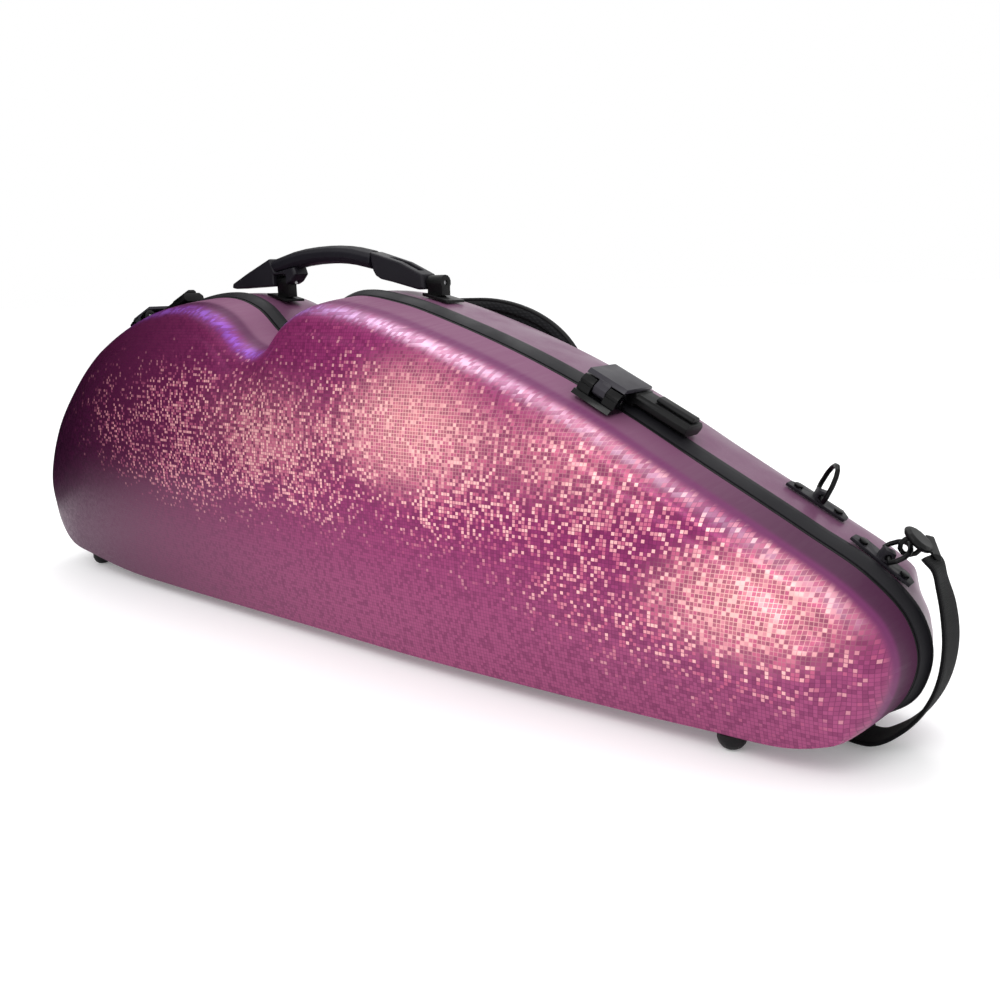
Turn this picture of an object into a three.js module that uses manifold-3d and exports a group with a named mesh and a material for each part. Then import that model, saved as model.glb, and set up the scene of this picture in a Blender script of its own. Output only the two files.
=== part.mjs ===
// Slim contoured violin case, standing on its spine, as an assembly of separate closed solids.
// Millimetres, +Z up. While it is being built +X points to the narrow nose, +Y from the lid to the
// base, the seam lies in the plane Y = 0 and the feet stand on Z = 0. The last lines centre the
// whole case on its footprint.

import * as THREE from "three";
import { mergeVertices } from "three/addons/utils/BufferGeometryUtils.js";
import Module from "manifold-3d";

const wasm = await Module();
wasm.setup();

// ---------------------------------------------------------------- driving dimensions

// Seam outline seen from the lid side, as [x, z]: nose, top edge, waist notch, wide bout, spine.
const OUTLINE = [
  [383, 55], [377, 76], [358, 94], [325, 112], [268, 141], [213, 169], [155, 194], [95, 215],
  [45, 229], [2, 234], [-24, 226], [-46, 209], [-62, 203], [-79, 208], [-104, 226], [-136, 235],
  [-190, 231], [-250, 212], [-308, 180], [-355, 136], [-379, 95], [-386, 66], [-378, 41],
  [-352, 24], [-300, 14.5], [-240, 8.6], [-180, 7.6], [0, 7.6], [150, 8], [290, 10], [343, 13.5],
  [373, 29],
];
const STEPS_PER_SPAN = 2;

// The line that the shells close in on, inside the outline.
const CORE = { start: -270, end: 335, high: 110, low: 61 };
const NOSE_TAPER = { from: 60, to: 385, cut: 0.22 };
// The base's nose rakes back from the seam by this much of its depth, down to the deepest.
const NOSE_RAKE = { slope: 0.2, deepest: 40, from: 0.7, to: 0.97 };
// Along the spine the walls stand square: they keep this share of the others' draft.
const SPINE = { share: 0.08, from: 0.45, to: 0.85 };

const WALL = 3.2;
const LINING = 5;
const GAP = 0.7;
const LID_PROFILE = [
  { inset: 0, share: 0, depth: 2.5 },
  { inset: 3, share: 0, depth: 26 },
  { inset: 6.5, share: 0, depth: 38 },
  { inset: 13, share: 0, depth: 46.5 },
  { inset: 24, share: 0, depth: 51.5 },
  { inset: 24, share: 0.3, depth: 57 },
  { inset: 24, share: 0.65, depth: 60.8 },
  { inset: 24, share: 0.93, depth: 62 },
];
const BASE_PROFILE = [
  { inset: -3, share: 0, depth: 10.3 },
  { inset: -2, share: 0, depth: 46 },
  { inset: 2.5, share: 0, depth: 64 },
  { inset: 12, share: 0, depth: 75.5 },
  { inset: 27, share: 0, depth: 80.5 },
  { inset: 27, share: 0.45, depth: 82.5 },
  { inset: 27, share: 0.93, depth: 83 },
];
const EDGE = { lid: 2.5, base: 10.3 };
// Sections of the two rims as [inset, y]; the base's band slopes out from the lid to the base.
const BAND = [[-0.4, 0.3], [-2.4, 3], [-4, 6.5], [-4, 10], [4.2, 10], [4.2, 0.3]];
const SEAL = [[-0.2, -2.2], [-0.2, -0.3], [4.2, -0.3], [4.2, -2.2]];

const HINGE = { z: 4, radius: 2.4, pin: 1, bore: 1.2, leafLow: 5.2, leafHigh: 6.5, reach: 26 };
const HINGE_STATIONS = { bout: -190, nose: 170 };
const HINGE_LENGTH = 70;
const FOOT_RADIUS = 8;
const FOOT_GAP = 1.1;
const FEET = { bout: -330, nose: 302 };
const FOOT_LID_Y = -30;
const FOOT_BASE_Y = 42;

const LATCH_STATIONS = { bout: -236, nose: 222 };
const LATCH = { start: -31, split: -4, end: 33, pivotY: -9, pivotZ: 7, knuckle: 5, pin: 1.5 };

const HANDLE = { y: 30, half: 7, pivotLeft: [-110, 246], pivotRight: [50, 241.4], pin: 1.5 };
const RING_WIRE = 1.5;
const RING_STATIONS = {
  upper: { x: 315, y: 34, side: 1, lean: 0, half: 9, height: 18 },
  nose: { x: 356, y: 16, side: 1, lean: 0.6, half: 8, height: 11.5 },
  bout: { x: -338, y: 16, side: -1, lean: 0.6, half: 8, height: 11.5 },
};
const RING_TURN = Math.atan2(0.55, 0.83);
const WEBBING = { width: 25, thickness: 2.4 };
const PAD = { y: 92, half: 6, left: -190, right: 127, low: 170, high: 228, end: 95 };

const BOWS = [{ x: -300, z: 114 }, { x: -300, z: 73 }];

// ---------------------------------------------------------------- finishes

const finish = (color, roughness, metalness) =>
  new THREE.MeshStandardMaterial({ color, roughness, metalness });
const FINISH = {
  mosaic: finish(0xa8507f, 0.35, 0.5),
  shell: finish(0x8b6480, 0.5, 0.1),
  plastic: finish(0x232327, 0.4, 0),
  band: finish(0x4a4a4f, 0.6, 0),
  rubber: finish(0x1c1c20, 0.8, 0),
  steel: finish(0x8a8a8e, 0.35, 1),
  blackSteel: finish(0x1d1d20, 0.35, 0.8),
  plush: finish(0x3a2a38, 0.95, 0),
  fabric: finish(0x1e1e24, 0.9, 0),
};

// ---------------------------------------------------------------- solids

const group = new THREE.Group();

// Adds one named mesh under a parent.
function add(name, geometry, material, parent = group) {
  const mesh = new THREE.Mesh(geometry, material);
  mesh.name = name;
  parent.add(mesh);
  return mesh;
}

// Keeps only positions and merges the vertices that faces share.
function weld(geometry) {
  const bare = geometry.clone();
  bare.deleteAttribute("normal");
  bare.deleteAttribute("uv");
  return mergeVertices(bare, 1e-4);
}

// Turns every face round when the solid is inside out.
function faceOutward(geometry) {
  const position = geometry.attributes.position;
  const index = geometry.index.array;
  const corner = (i) => new THREE.Vector3().fromBufferAttribute(position, index[i]);
  let volume = 0;
  for (let i = 0; i < index.length; i += 3) {
    volume += corner(i).dot(corner(i + 1).cross(corner(i + 2)));
  }
  if (volume < 0) {
    for (let i = 0; i < index.length; i += 3) {
      [index[i], index[i + 1]] = [index[i + 1], index[i]];
    }
  }
  return geometry;
}

// Triangles that close a ring of points, found in the ring's own plane.
function capTriangles(ring) {
  const normal = new THREE.Vector3();
  ring.forEach((p, i) => normal.add(p.clone().cross(ring[(i + 1) % ring.length])));
  normal.normalize();
  const aside = Math.abs(normal.x) > 0.8 ? new THREE.Vector3(0, 1, 0) : new THREE.Vector3(1, 0, 0);
  const u = aside.cross(normal).normalize();
  const v = normal.clone().cross(u);
  const flat = ring.map((p) => new THREE.Vector2(p.dot(u), p.dot(v)));
  return THREE.ShapeUtils.triangulateShape(flat, []);
}

// Two triangles for four corners, split along the shorter diagonal.
function quad(corners, points) {
  const [a, b, c, d] = corners;
  const straight = points[a].distanceTo(points[c]) - points[b].distanceTo(points[d]);
  return straight <= 1e-4 ? [a, b, c, a, c, d] : [a, b, d, b, c, d];
}

// Joins rings of equal length into one closed solid; a loop joins the last ring to the first.
function loft(rings, loop = false) {
  const count = rings[0].length;
  const points = rings.flat();
  const positions = points.flatMap((p) => [p.x, p.y, p.z]);
  const index = [];
  const spans = loop ? rings.length : rings.length - 1;
  for (let r = 0; r < spans; r += 1) {
    const here = r * count;
    const next = ((r + 1) % rings.length) * count;
    for (let i = 0; i < count; i += 1) {
      const j = (i + 1) % count;
      index.push(...quad([here + i, here + j, next + j, next + i], points));
    }
  }
  if (!loop) {
    const last = (rings.length - 1) * count;
    capTriangles(rings[0]).forEach(([a, b, c]) => index.push(c, b, a));
    capTriangles(rings[rings.length - 1]).forEach(([a, b, c]) => index.push(last + a, last + b, last + c));
  }
  const geometry = new THREE.BufferGeometry();
  geometry.setAttribute("position", new THREE.Float32BufferAttribute(positions, 3));
  geometry.setIndex(index);
  return faceOutward(geometry);
}

// A polygon pushed along one axis: "x" takes [y, z] points, "y" takes [x, z], "z" takes [x, y].
function prism(points, axis, from, to) {
  const place = {
    x: (a, b, s) => new THREE.Vector3(s, a, b),
    y: (a, b, s) => new THREE.Vector3(a, s, b),
    z: (a, b, s) => new THREE.Vector3(a, b, s),
  }[axis];
  return loft([from, to].map((s) => points.map(([a, b]) => place(a, b, s))));
}

function block([x0, x1], [y0, y1], [z0, z1]) {
  return prism([[x0, y0], [x1, y0], [x1, y1], [x0, y1]], "z", z0, z1);
}

function circle(centre, radius, sides) {
  return Array.from({ length: sides }, (_, i) => {
    const angle = ((i + 0.5) * 2 * Math.PI) / sides;
    return [centre[0] + radius * Math.cos(angle), centre[1] + radius * Math.sin(angle)];
  });
}

function rod(axis, centre, radius, from, to, sides = 12) {
  return prism(circle(centre, radius, sides), axis, from, to);
}

function toManifold(geometry) {
  const solid = weld(geometry);
  const vertProperties = new Float32Array(solid.attributes.position.array);
  const triVerts = new Uint32Array(solid.index.array);
  return new wasm.Manifold(new wasm.Mesh({ numProp: 3, vertProperties, triVerts }));
}

function fromManifold(manifold) {
  const result = manifold.getMesh();
  const geometry = new THREE.BufferGeometry();
  geometry.setAttribute("position", new THREE.Float32BufferAttribute(result.vertProperties, 3));
  geometry.setIndex(Array.from(result.triVerts));
  return geometry;
}

function join(first, ...others) {
  return fromManifold(others.reduce((sum, part) => sum.add(toManifold(part)), toManifold(first)));
}

function cut(body, ...tools) {
  return fromManifold(tools.reduce((rest, tool) => rest.subtract(toManifold(tool)), toManifold(body)));
}

// ---------------------------------------------------------------- the case's surfaces

const seam = new THREE.CatmullRomCurve3(
  OUTLINE.map(([x, z]) => new THREE.Vector3(x, 0, z)), true, "centripetal");
const stations = seam.getPoints(OUTLINE.length * STEPS_PER_SPAN).slice(0, -1);

function core(x) {
  const drop = (CORE.high - CORE.low) * THREE.MathUtils.smoothstep(x, 20, CORE.end);
  return new THREE.Vector3(THREE.MathUtils.clamp(x, CORE.start, CORE.end), 0, CORE.high - drop);
}

function taper(x) {
  return 1 - NOSE_TAPER.cut * THREE.MathUtils.smoothstep(x, NOSE_TAPER.from, NOSE_TAPER.to);
}

// Share of the draft that a wall keeps: all of it round the top, a little along the spine.
function squareness(point, centre, radius) {
  const down = (centre.z - point.z) / radius;
  return 1 - (1 - SPINE.share) * THREE.MathUtils.smoothstep(down, SPINE.from, SPINE.to);
}

function noseRake(point, centre, radius) {
  const forward = (point.x - centre.x) / radius;
  return NOSE_RAKE.slope * THREE.MathUtils.smoothstep(forward, NOSE_RAKE.from, NOSE_RAKE.to);
}

// One ring of a shell: the outline drawn in towards the core and set back from the seam.
function contour({ inset, share, depth, wall = 0 }, side) {
  const edge = side < 0 ? EDGE.lid : EDGE.base;
  return stations.map((p) => {
    const centre = core(p.x);
    const radius = p.distanceTo(centre);
    const raked = THREE.MathUtils.clamp(depth - edge, 0, side > 0 ? NOSE_RAKE.deepest : 0);
    const rake = noseRake(p, centre, radius) * raked;
    const start = inset * squareness(p, centre, radius) + rake + wall;
    const travel = start + share * (radius - start);
    const point = p.clone().lerp(centre, travel / radius);
    point.y = side * (edge + (depth - edge) * taper(point.x));
    return point;
  });
}

// The same profile drawn in by a thickness; the edge at the seam may start at another depth.
function drawnIn(profile, thickness, edge) {
  return profile.map(({ inset, share, depth }, i) => ({
    inset,
    share,
    wall: thickness,
    depth: i === 0 ? edge : depth - thickness,
  }));
}

function shell(outer, inner, side) {
  const outerRings = outer.map((level) => contour(level, side)).reverse();
  const innerRings = inner.map((level) => contour(level, side));
  return loft([...outerRings, ...innerRings]);
}

// A rim that follows the seam; what lies inside the outline keeps its thickness all round.
function seamBand(section) {
  const rings = section.map(([inset, y]) => {
    const level = inset < 0 ? { inset, wall: 0 } : { inset: 0, wall: inset };
    return contour({ ...level, share: 0, depth: 0 }, 1).map((p) => p.setY(y));
  });
  return loft(rings, true);
}

// Height of a shell's underside at [x, y], for what stands below it.
function undersideAt(profile, x, y) {
  const spine = stations.filter((p) => p.z < 30 && Math.abs(p.x - x) < 60)
    .sort((a, b) => Math.abs(a.x - x) - Math.abs(b.x - x));
  const [a, b] = spine;
  const low = a.z + ((b.z - a.z) * (x - a.x)) / (b.x - a.x);
  const deep = Math.abs(y);
  const next = profile.findIndex(({ depth }) => depth > deep);
  const [from, to] = [profile[next - 1], profile[next]];
  const inset = from.inset + ((to.inset - from.inset) * (deep - from.depth)) / (to.depth - from.depth);
  return low + inset * SPINE.share;
}

// Where hardware sits on the top edge at x: a group with its own x along the edge and z outward.
function seatOnTop(x) {
  const upper = (t) => seam.getPoint(t);
  let low = 0;
  let high = 19 / OUTLINE.length;
  for (let i = 0; i < 40; i += 1) {
    const middle = (low + high) / 2;
    if (upper(middle).x > x) low = middle;
    else high = middle;
  }
  const point = upper(low);
  const direction = seam.getTangent(low).negate();
  const seat = new THREE.Group();
  seat.position.copy(point);
  seat.rotation.y = -Math.atan2(direction.z, direction.x);
  group.add(seat);
  return seat;
}

// ---------------------------------------------------------------- shells, seals and lining

const lidInside = drawnIn(LID_PROFILE, WALL, 2.5);
const baseInside = drawnIn(BASE_PROFILE, WALL, 10.3);
const lidLiningOut = drawnIn(LID_PROFILE, WALL + GAP, 3.5);
const lidLiningIn = drawnIn(LID_PROFILE, WALL + GAP + LINING, 3.5);

add("lid_shell", shell(LID_PROFILE, lidInside, -1), FINISH.mosaic);
add("base_shell", shell(BASE_PROFILE, baseInside, 1), FINISH.shell);
add("base_rim_band", seamBand(BAND), FINISH.band);
add("lid_rim_seal", seamBand(SEAL), FINISH.rubber);

const every2nd = (profile) => profile.filter((_, i) => i % 2 === 1 || i === 0);
add("lid_lining", shell(lidLiningOut, every2nd(lidLiningIn), -1), FINISH.plush);

// Violin-shaped well: half outline from the end button to the neck, mirrored about its own axis.
const VIOLIN_HALF = [
  [0, 0], [4, 45], [25, 84], [62, 106], [105, 98], [130, 68], [165, 58], [205, 62], [232, 84],
  [275, 88], [325, 70], [354, 30], [362, 30],
];
const VIOLIN_ORIGIN = { x: -279, z: 123, tilt: -5 * THREE.MathUtils.DEG2RAD };
const WELL_DEPTH = 62;
const NECK_DEPTH = 44;

function onViolin(along, across) {
  const { x, z, tilt } = VIOLIN_ORIGIN;
  return [
    x + along * Math.cos(tilt) - across * Math.sin(tilt),
    z + along * Math.sin(tilt) + across * Math.cos(tilt),
  ];
}

function violinWell() {
  const upper = VIOLIN_HALF.slice(1).map(([a, b]) => new THREE.Vector3(a, 0, b));
  const lower = VIOLIN_HALF.slice(1).reverse().map(([a, b]) => new THREE.Vector3(a, 0, -b));
  const edge = new THREE.CatmullRomCurve3([...upper, ...lower], true, "centripetal");
  const points = edge.getPoints(44).slice(0, -1).map((p) => onViolin(p.x, p.z));
  const body = prism(points, "y", -5, WELL_DEPTH);
  const neck = prism([[355, -26], [520, -26], [520, 26], [355, 26]].map(([a, b]) => onViolin(a, b)),
    "y", -5, NECK_DEPTH);
  const scroll = prism([[505, -33], [608, -24], [608, 24], [505, 33]].map(([a, b]) => onViolin(a, b)),
    "y", -5, NECK_DEPTH);
  return join(body, neck, scroll);
}

function accessoryWell() {
  return prism([[-352, 62], [-300, 50], [-300, 60], [-296, 170], [-318, 150], [-352, 108]], "y", -5, 50);
}

function baseLining() {
  const levels = drawnIn(BASE_PROFILE, WALL + GAP, 4).reverse();
  const front = { inset: 0, wall: BAND[4][0] + 2 * GAP, share: 0, depth: 4 };
  const rings = [...levels.slice(0, -1), front].map((level) => contour(level, 1));
  return cut(loft(rings), violinWell(), accessoryWell());
}

add("base_lining", baseLining(), FINISH.plush);

// Foam saddle under the neck and the hook-and-loop strap across it, set in the neck channel.
function placedOnViolin(points) {
  return points.map(([along, across]) => onViolin(along, across));
}

const CRADLE = { from: 420, to: 462, half: 25.5 };
const cradleBlock = prism(
  placedOnViolin([[CRADLE.from, -CRADLE.half], [CRADLE.to, -CRADLE.half],
    [CRADLE.to, CRADLE.half], [CRADLE.from, CRADLE.half]]), "y", 10, NECK_DEPTH - 0.4);
const cradleTrough = prism(
  placedOnViolin([[CRADLE.from - 2, -14], [CRADLE.to + 2, -14], [CRADLE.to + 2, 14],
    [CRADLE.from - 2, 14]]), "y", 5, 30);
add("neck_cradle", cut(cradleBlock, cradleTrough), FINISH.plush);
add("neck_strap", prism(
  placedOnViolin([[CRADLE.from + 8, -25], [CRADLE.to - 8, -25], [CRADLE.to - 8, 25],
    [CRADLE.from + 8, 25]]), "y", 6.6, 9.4), FINISH.fabric);

// ---------------------------------------------------------------- lid fittings for the bows

// Depth of a profile's surface below the seam at [x, z].
function depthAt(profile, x, z) {
  const centre = core(x);
  const wanted = new THREE.Vector3(x, 0, z).sub(centre);
  const rays = stations.map((p) => p.clone().sub(centre));
  const nearest = rays.reduce((best, ray) => (ray.angleTo(wanted) < best.angleTo(wanted) ? ray : best));
  const reach = nearest.length();
  const travelled = reach - wanted.length();
  let depth = 0;
  profile.forEach(({ inset, share, wall, depth: level }) => {
    const start = inset + wall;
    if (start + share * (reach - start) <= travelled) depth = level;
  });
  return EDGE.lid + (depth - EDGE.lid) * taper(x);
}

BOWS.forEach(({ x, z }, i) => {
  const floor = depthAt(lidLiningIn, x, z) - 0.5;
  const post = rod("y", [x, z], 4, -floor, -24, 10);
  add(`bow_spinner_post_${i + 1}`, cut(post, rod("y", [x, z], 1.7, -34, -20, 8)), FINISH.plastic);
  const wing = prism(
    [[x - 19, z - 4], [x - 15, z - 6], [x + 15, z - 6], [x + 19, z - 4],
      [x + 19, z + 4], [x + 15, z + 6], [x - 15, z + 6], [x - 19, z + 4]], "y", -23.6, -19);
  add(`bow_spinner_${i + 1}`, join(wing, rod("y", [x, z], 1.4, -33, -22, 8)), FINISH.plastic);
});

const TIP_POCKET = { x0: 268, x1: 318, z0: 48, z1: 98, y0: -20, y1: -12.5 };
add("bow_tip_pocket", cut(
  block([TIP_POCKET.x0, TIP_POCKET.x1], [TIP_POCKET.y0, TIP_POCKET.y1], [TIP_POCKET.z0, TIP_POCKET.z1]),
  block([TIP_POCKET.x0 - 1, TIP_POCKET.x1 - 4], [TIP_POCKET.y0 + 1.5, TIP_POCKET.y1 - 1.5],
    [TIP_POCKET.z0 + 3, TIP_POCKET.z1 - 3])), FINISH.plush);

// ---------------------------------------------------------------- spine hinges and feet

// A hinge leaf on one side of the seam with the knuckles that it carries.
function hingeLeaf(centre, side, knuckles) {
  const half = HINGE_LENGTH / 2;
  const root = side * (HINGE.radius + 0.6);
  const plate = block([centre - half, centre + half], [root, side * HINGE.reach].sort((a, b) => a - b),
    [HINGE.leafLow, HINGE.leafHigh]);
  const parts = knuckles.map(([from, to]) => {
    const barrel = rod("x", [0, HINGE.z], HINGE.radius, centre + from, centre + to, 14);
    const tab = block([centre + from, centre + to], [0, side * (HINGE.radius + 2)].sort((a, b) => a - b),
      [HINGE.leafLow, HINGE.leafHigh - 0.2]);
    return join(barrel, tab);
  });
  const bore = rod("x", [0, HINGE.z], HINGE.bore, centre - half - 2, centre + half + 2, 10);
  return cut(join(plate, ...parts), bore);
}

Object.entries(HINGE_STATIONS).forEach(([where, x]) => {
  add(`hinge_base_leaf_${where}`, hingeLeaf(x, 1, [[-35, -12.4], [12.4, 35]]), FINISH.blackSteel);
  add(`hinge_lid_leaf_${where}`, hingeLeaf(x, -1, [[-12, 12]]), FINISH.blackSteel);
  add(`hinge_pin_${where}`, rod("x", [0, HINGE.z], HINGE.pin, x - 34, x + 34, 10), FINISH.steel);
});

// A rubber dome whose top meets the shell above it.
function foot(x, y, profile) {
  const top = circle([x, y], FOOT_RADIUS, 14)
    .map(([a, b]) => new THREE.Vector3(a, b, undersideAt(profile, a, b) - FOOT_GAP));
  const levels = [[6, 1], [3.4, 0.9], [1.4, 0.72], [0.3, 0.5], [0, 0.4]];
  return loft([top, ...levels.map(([z, scale]) =>
    circle([x, y], FOOT_RADIUS * scale, 14).map(([a, b]) => new THREE.Vector3(a, b, z)))]);
}

Object.entries(FEET).forEach(([where, x]) => {
  add(`foot_lid_${where}`, foot(x, FOOT_LID_Y, LID_PROFILE), FINISH.rubber);
  add(`foot_base_${where}`, foot(x, FOOT_BASE_Y, BASE_PROFILE), FINISH.rubber);
});

// ---------------------------------------------------------------- latches on the top edge

function octagonBlock(centre, size, from, to) {
  return prism(circle(centre, size, 8), "x", from, to);
}

function addLatch(where, x) {
  const seat = seatOnTop(x);
  const { start, split, end, pivotY, pivotZ, knuckle, pin } = LATCH;
  const axis = [pivotY, pivotZ];
  const third = (split - start) / 3;
  const middle = [start + third + 0.3, split - third - 0.3];
  const flapRoom = rod("x", axis, knuckle, middle[0] - 0.3, middle[1] + 0.3, 16);
  const pad = prism([[-19, 0.4], [-3.2, 0.4], [-3.2, 3], [-17, 3]], "x", start, split);
  const cheek = (from, to) => join(
    octagonBlock(axis, knuckle, from, to),
    prism([[-15, 2.6], [-5, 2.6], [-5.6, 7], [-14.4, 7]], "x", from, to));
  const cheeks = [cheek(start, start + third - 0.3), cheek(split - third + 0.3, split)];
  const bracket = join(pad, ...cheeks);
  const bore = rod("x", axis, pin + 0.2, start - 1, split + 1, 10);
  add(`latch_bracket_${where}`, cut(bracket, bore, flapRoom), FINISH.plastic, seat);
  add(`latch_pin_${where}`, rod("x", axis, pin, start + 0.6, split - 0.6, 10), FINISH.steel, seat);

  const plate = prism(
    [[pivotY - 1, 12.4], [16, 12.4], [18.5, 12.8], [18.5, 13.8], [17, 14.8], [pivotY + 1, 14.8]],
    "x", start, split);
  const arm = prism([[pivotY - 3, 8], [pivotY + 3, 8], [pivotY + 3, 12.8], [pivotY - 1, 12.8]],
    "x", middle[0], middle[1]);
  const flap = join(plate, arm, octagonBlock(axis, knuckle - 0.4, middle[0], middle[1]));
  add(`latch_flap_${where}`, cut(flap, bore), FINISH.plastic, seat);

  const body = prism([[2, 4.5], [19, 4.5], [20.5, 6], [18.5, 11.9], [3.4, 11.9], [2, 9]],
    "x", start + 1, split + 1.5);
  const foundation = block([start + 1, end - 1], [10.6, 20], [3.4, 5]);
  const bar = prism([[2, 6.4], [4.4, 4.5], [18, 4.5], [20.4, 6.8], [20.4, 9], [17.6, 11.6],
    [4.4, 11.6], [2, 9.4]], "x", split + 1, end);
  add(`latch_catch_${where}`, join(foundation, body, bar), FINISH.plastic, seat);
  const slide = prism([[7.2, 12], [15.6, 12], [15.6, 13.4], [14, 14.8], [8.8, 14.8], [7.2, 13.4]],
    "x", split + 11, end - 1);
  add(`latch_slide_${where}`, slide, FINISH.plastic, seat);
}

Object.entries(LATCH_STATIONS).forEach(([where, x]) => addLatch(where, x));

// ---------------------------------------------------------------- carrying handle

const [leftX, leftZ] = HANDLE.pivotLeft;
const [rightX, rightZ] = HANDLE.pivotRight;
const handleSlope = (rightZ - leftZ) / (rightX - leftX);
const pivotHeight = (x) => leftZ + (x - leftX) * handleSlope;
const handleY = [HANDLE.y - HANDLE.half, HANDLE.y + HANDLE.half];

// A rod along the handle's pivot line, which falls a little towards the nose.
function pivotRod(radius, from, to, sides) {
  return loft([from, to].map((x) =>
    circle([HANDLE.y, pivotHeight(x)], radius, sides).map(([a, b]) => new THREE.Vector3(x, a, b))));
}

// Side outline of a cap with its long edges chamfered.
function capBody(points) {
  const [y0, y1] = handleY;
  const middle = points.reduce((sum, [x, z]) => [sum[0] + x / points.length, sum[1] + z / points.length],
    [0, 0]);
  const ring = (scale, y) => points.map(([x, z]) => new THREE.Vector3(
    middle[0] + (x - middle[0]) * scale, y, middle[1] + (z - middle[1]) * scale));
  return loft([ring(0.95, y0), ring(1, y0 + 1.4), ring(1, y1 - 1.4), ring(0.95, y1)]);
}

const leftCap = capBody([[-172, 242.8], [-171, 246], [-150, 254], [-121, 264], [-115, 253.6], [-92, 256.6],
  [-90, 251.4], [-96, 246], [-103, 243.4], [-167, 242]]);
const rightCap = capBody([[-8.4, 264.4], [22, 256], [43, 247], [43.6, 237.4], [38, 237],
  [14, 242.6], [2, 245], [-3, 247.6], [-5.6, 251.4]]);
const postWindow = block([-117, -102.4], [20, 40], [230, 251.8]);
const thumbSlot = prism([[8, 275], [8, 255.4], [36, 246.4], [36, 275]], "y", HANDLE.y - 2.6, HANDLE.y + 2.6);
add("handle_cap_bout", cut(leftCap, postWindow, pivotRod(HANDLE.pin + 0.2, -125, -94, 10)), FINISH.plastic);
add("handle_cap_nose", cut(rightCap, thumbSlot, pivotRod(HANDLE.pin + 0.2, 26, 60, 10)), FINISH.plastic);
add("handle_pin_bout", pivotRod(HANDLE.pin, -124.6, -98, 10), FINISH.steel);
add("handle_pin_nose", pivotRod(HANDLE.pin, 26.6, 57, 10), FINISH.steel);

// The padded grip: an oval swept along the arch between the two caps.
function gripArch() {
  const arch = new THREE.CatmullRomCurve3(
    [[-117, 257.2], [-88, 262.6], [-54, 264.2], [-30, 262.6], [-7.4, 258.2]].map(([x, z]) =>
      new THREE.Vector3(x, HANDLE.y, z)));
  const steps = 10;
  const rings = Array.from({ length: steps + 1 }, (_, i) => {
    const t = i / steps;
    const centre = arch.getPoint(t);
    const along = arch.getTangent(t);
    const up = new THREE.Vector3(-along.z, 0, along.x);
    const lean = t === 0 ? -0.48 : 0;
    return circle([0, 0], 1, 12).map(([a, b]) => centre.clone()
      .add(new THREE.Vector3(0, a * 8.2, 0))
      .addScaledVector(up, b * 6.6)
      .addScaledVector(along, b * 6.6 * lean));
  });
  return loft(rings);
}

// The space that a cap and its joint line take out of the grip.
function clearance(cap, dx) {
  const lifted = cap.clone().translate(dx, 0, 0.4);
  return join(cap, lifted);
}
add("handle_grip", cut(gripArch(), clearance(leftCap, 0.3), clearance(rightCap, -0.3)), FINISH.rubber);

function handleMount(from, to, footing, postX, radius) {
  const [footZ0, footZ1] = footing;
  const postMiddle = (postX[0] + postX[1]) / 2;
  const top = pivotHeight(postMiddle);
  const plate = prism([[from, footZ0], [to, footZ1], [to, footZ1 + 1.8], [from, footZ0 + 1.8]],
    "y", HANDLE.y - 9, HANDLE.y + 9);
  const footing0 = footZ0 + ((footZ1 - footZ0) * (postMiddle - from)) / (to - from);
  const stalk = block(postX, [HANDLE.y - 4, HANDLE.y + 4], [footing0 + 1.4, top]);
  const head = rod("x", [HANDLE.y, top], radius, postX[0], postX[1], 14);
  const bore = pivotRod(HANDLE.pin + 0.2, postX[0] - 1, postX[1] + 1, 10);
  return cut(join(plate, stalk, head), bore);
}
add("handle_mount_bout", handleMount(-123, -101, [236.2, 231.2], [-116.4, -103], 4.8), FINISH.plastic);
add("handle_mount_nose", handleMount(44.4, 66, [233, 227.8], [44.6, 58], 5), FINISH.plastic);

// ---------------------------------------------------------------- strap rings on the base edge

// A wire bent along a closed path, as a loop of small polygons.
function wireLoop(points, wire, sides) {
  const path = new THREE.CatmullRomCurve3(points, true, "centripetal");
  const count = points.length;
  const middle = points.reduce((sum, p) => sum.addScaledVector(p, 1 / count), new THREE.Vector3());
  const normal = points[0].clone().sub(middle).cross(points[3].clone().sub(middle)).normalize();
  const rings = Array.from({ length: count }, (_, i) => {
    const centre = path.getPoint(i / count);
    const along = path.getTangent(i / count);
    const side = normal.clone().cross(along);
    return circle([0, 0], wire, sides).map(([a, b]) =>
      centre.clone().addScaledVector(side, a).addScaledVector(normal, b));
  });
  return loft(rings, true);
}

// D shape in the [x, z] plane: a straight bar through the origin and a bow above it.
function dRing(half, height) {
  const bow = Array.from({ length: 9 }, (_, i) => {
    const angle = (Math.PI * i) / 8;
    return new THREE.Vector3(half * Math.cos(angle), 0, 3 + (height - 3) * Math.sin(angle) ** 0.8);
  });
  const bar = [-0.92, -0.4, 0.4, 0.92].map((share) => new THREE.Vector3(half * share, 0, 0));
  return wireLoop([...bow, ...bar], RING_WIRE, 6);
}

const RING_Z = 7.8;

// Turns a piece of ring hardware to its angle on the plate and moves it there.
function onPlate(geometry, { y, side, lean }, out = 0) {
  geometry.translate(0, 0, out);
  geometry.rotateX(side * lean);
  geometry.rotateZ(Math.PI / 2 + side * RING_TURN);
  geometry.translate(0, y, RING_Z);
  return geometry;
}

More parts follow.
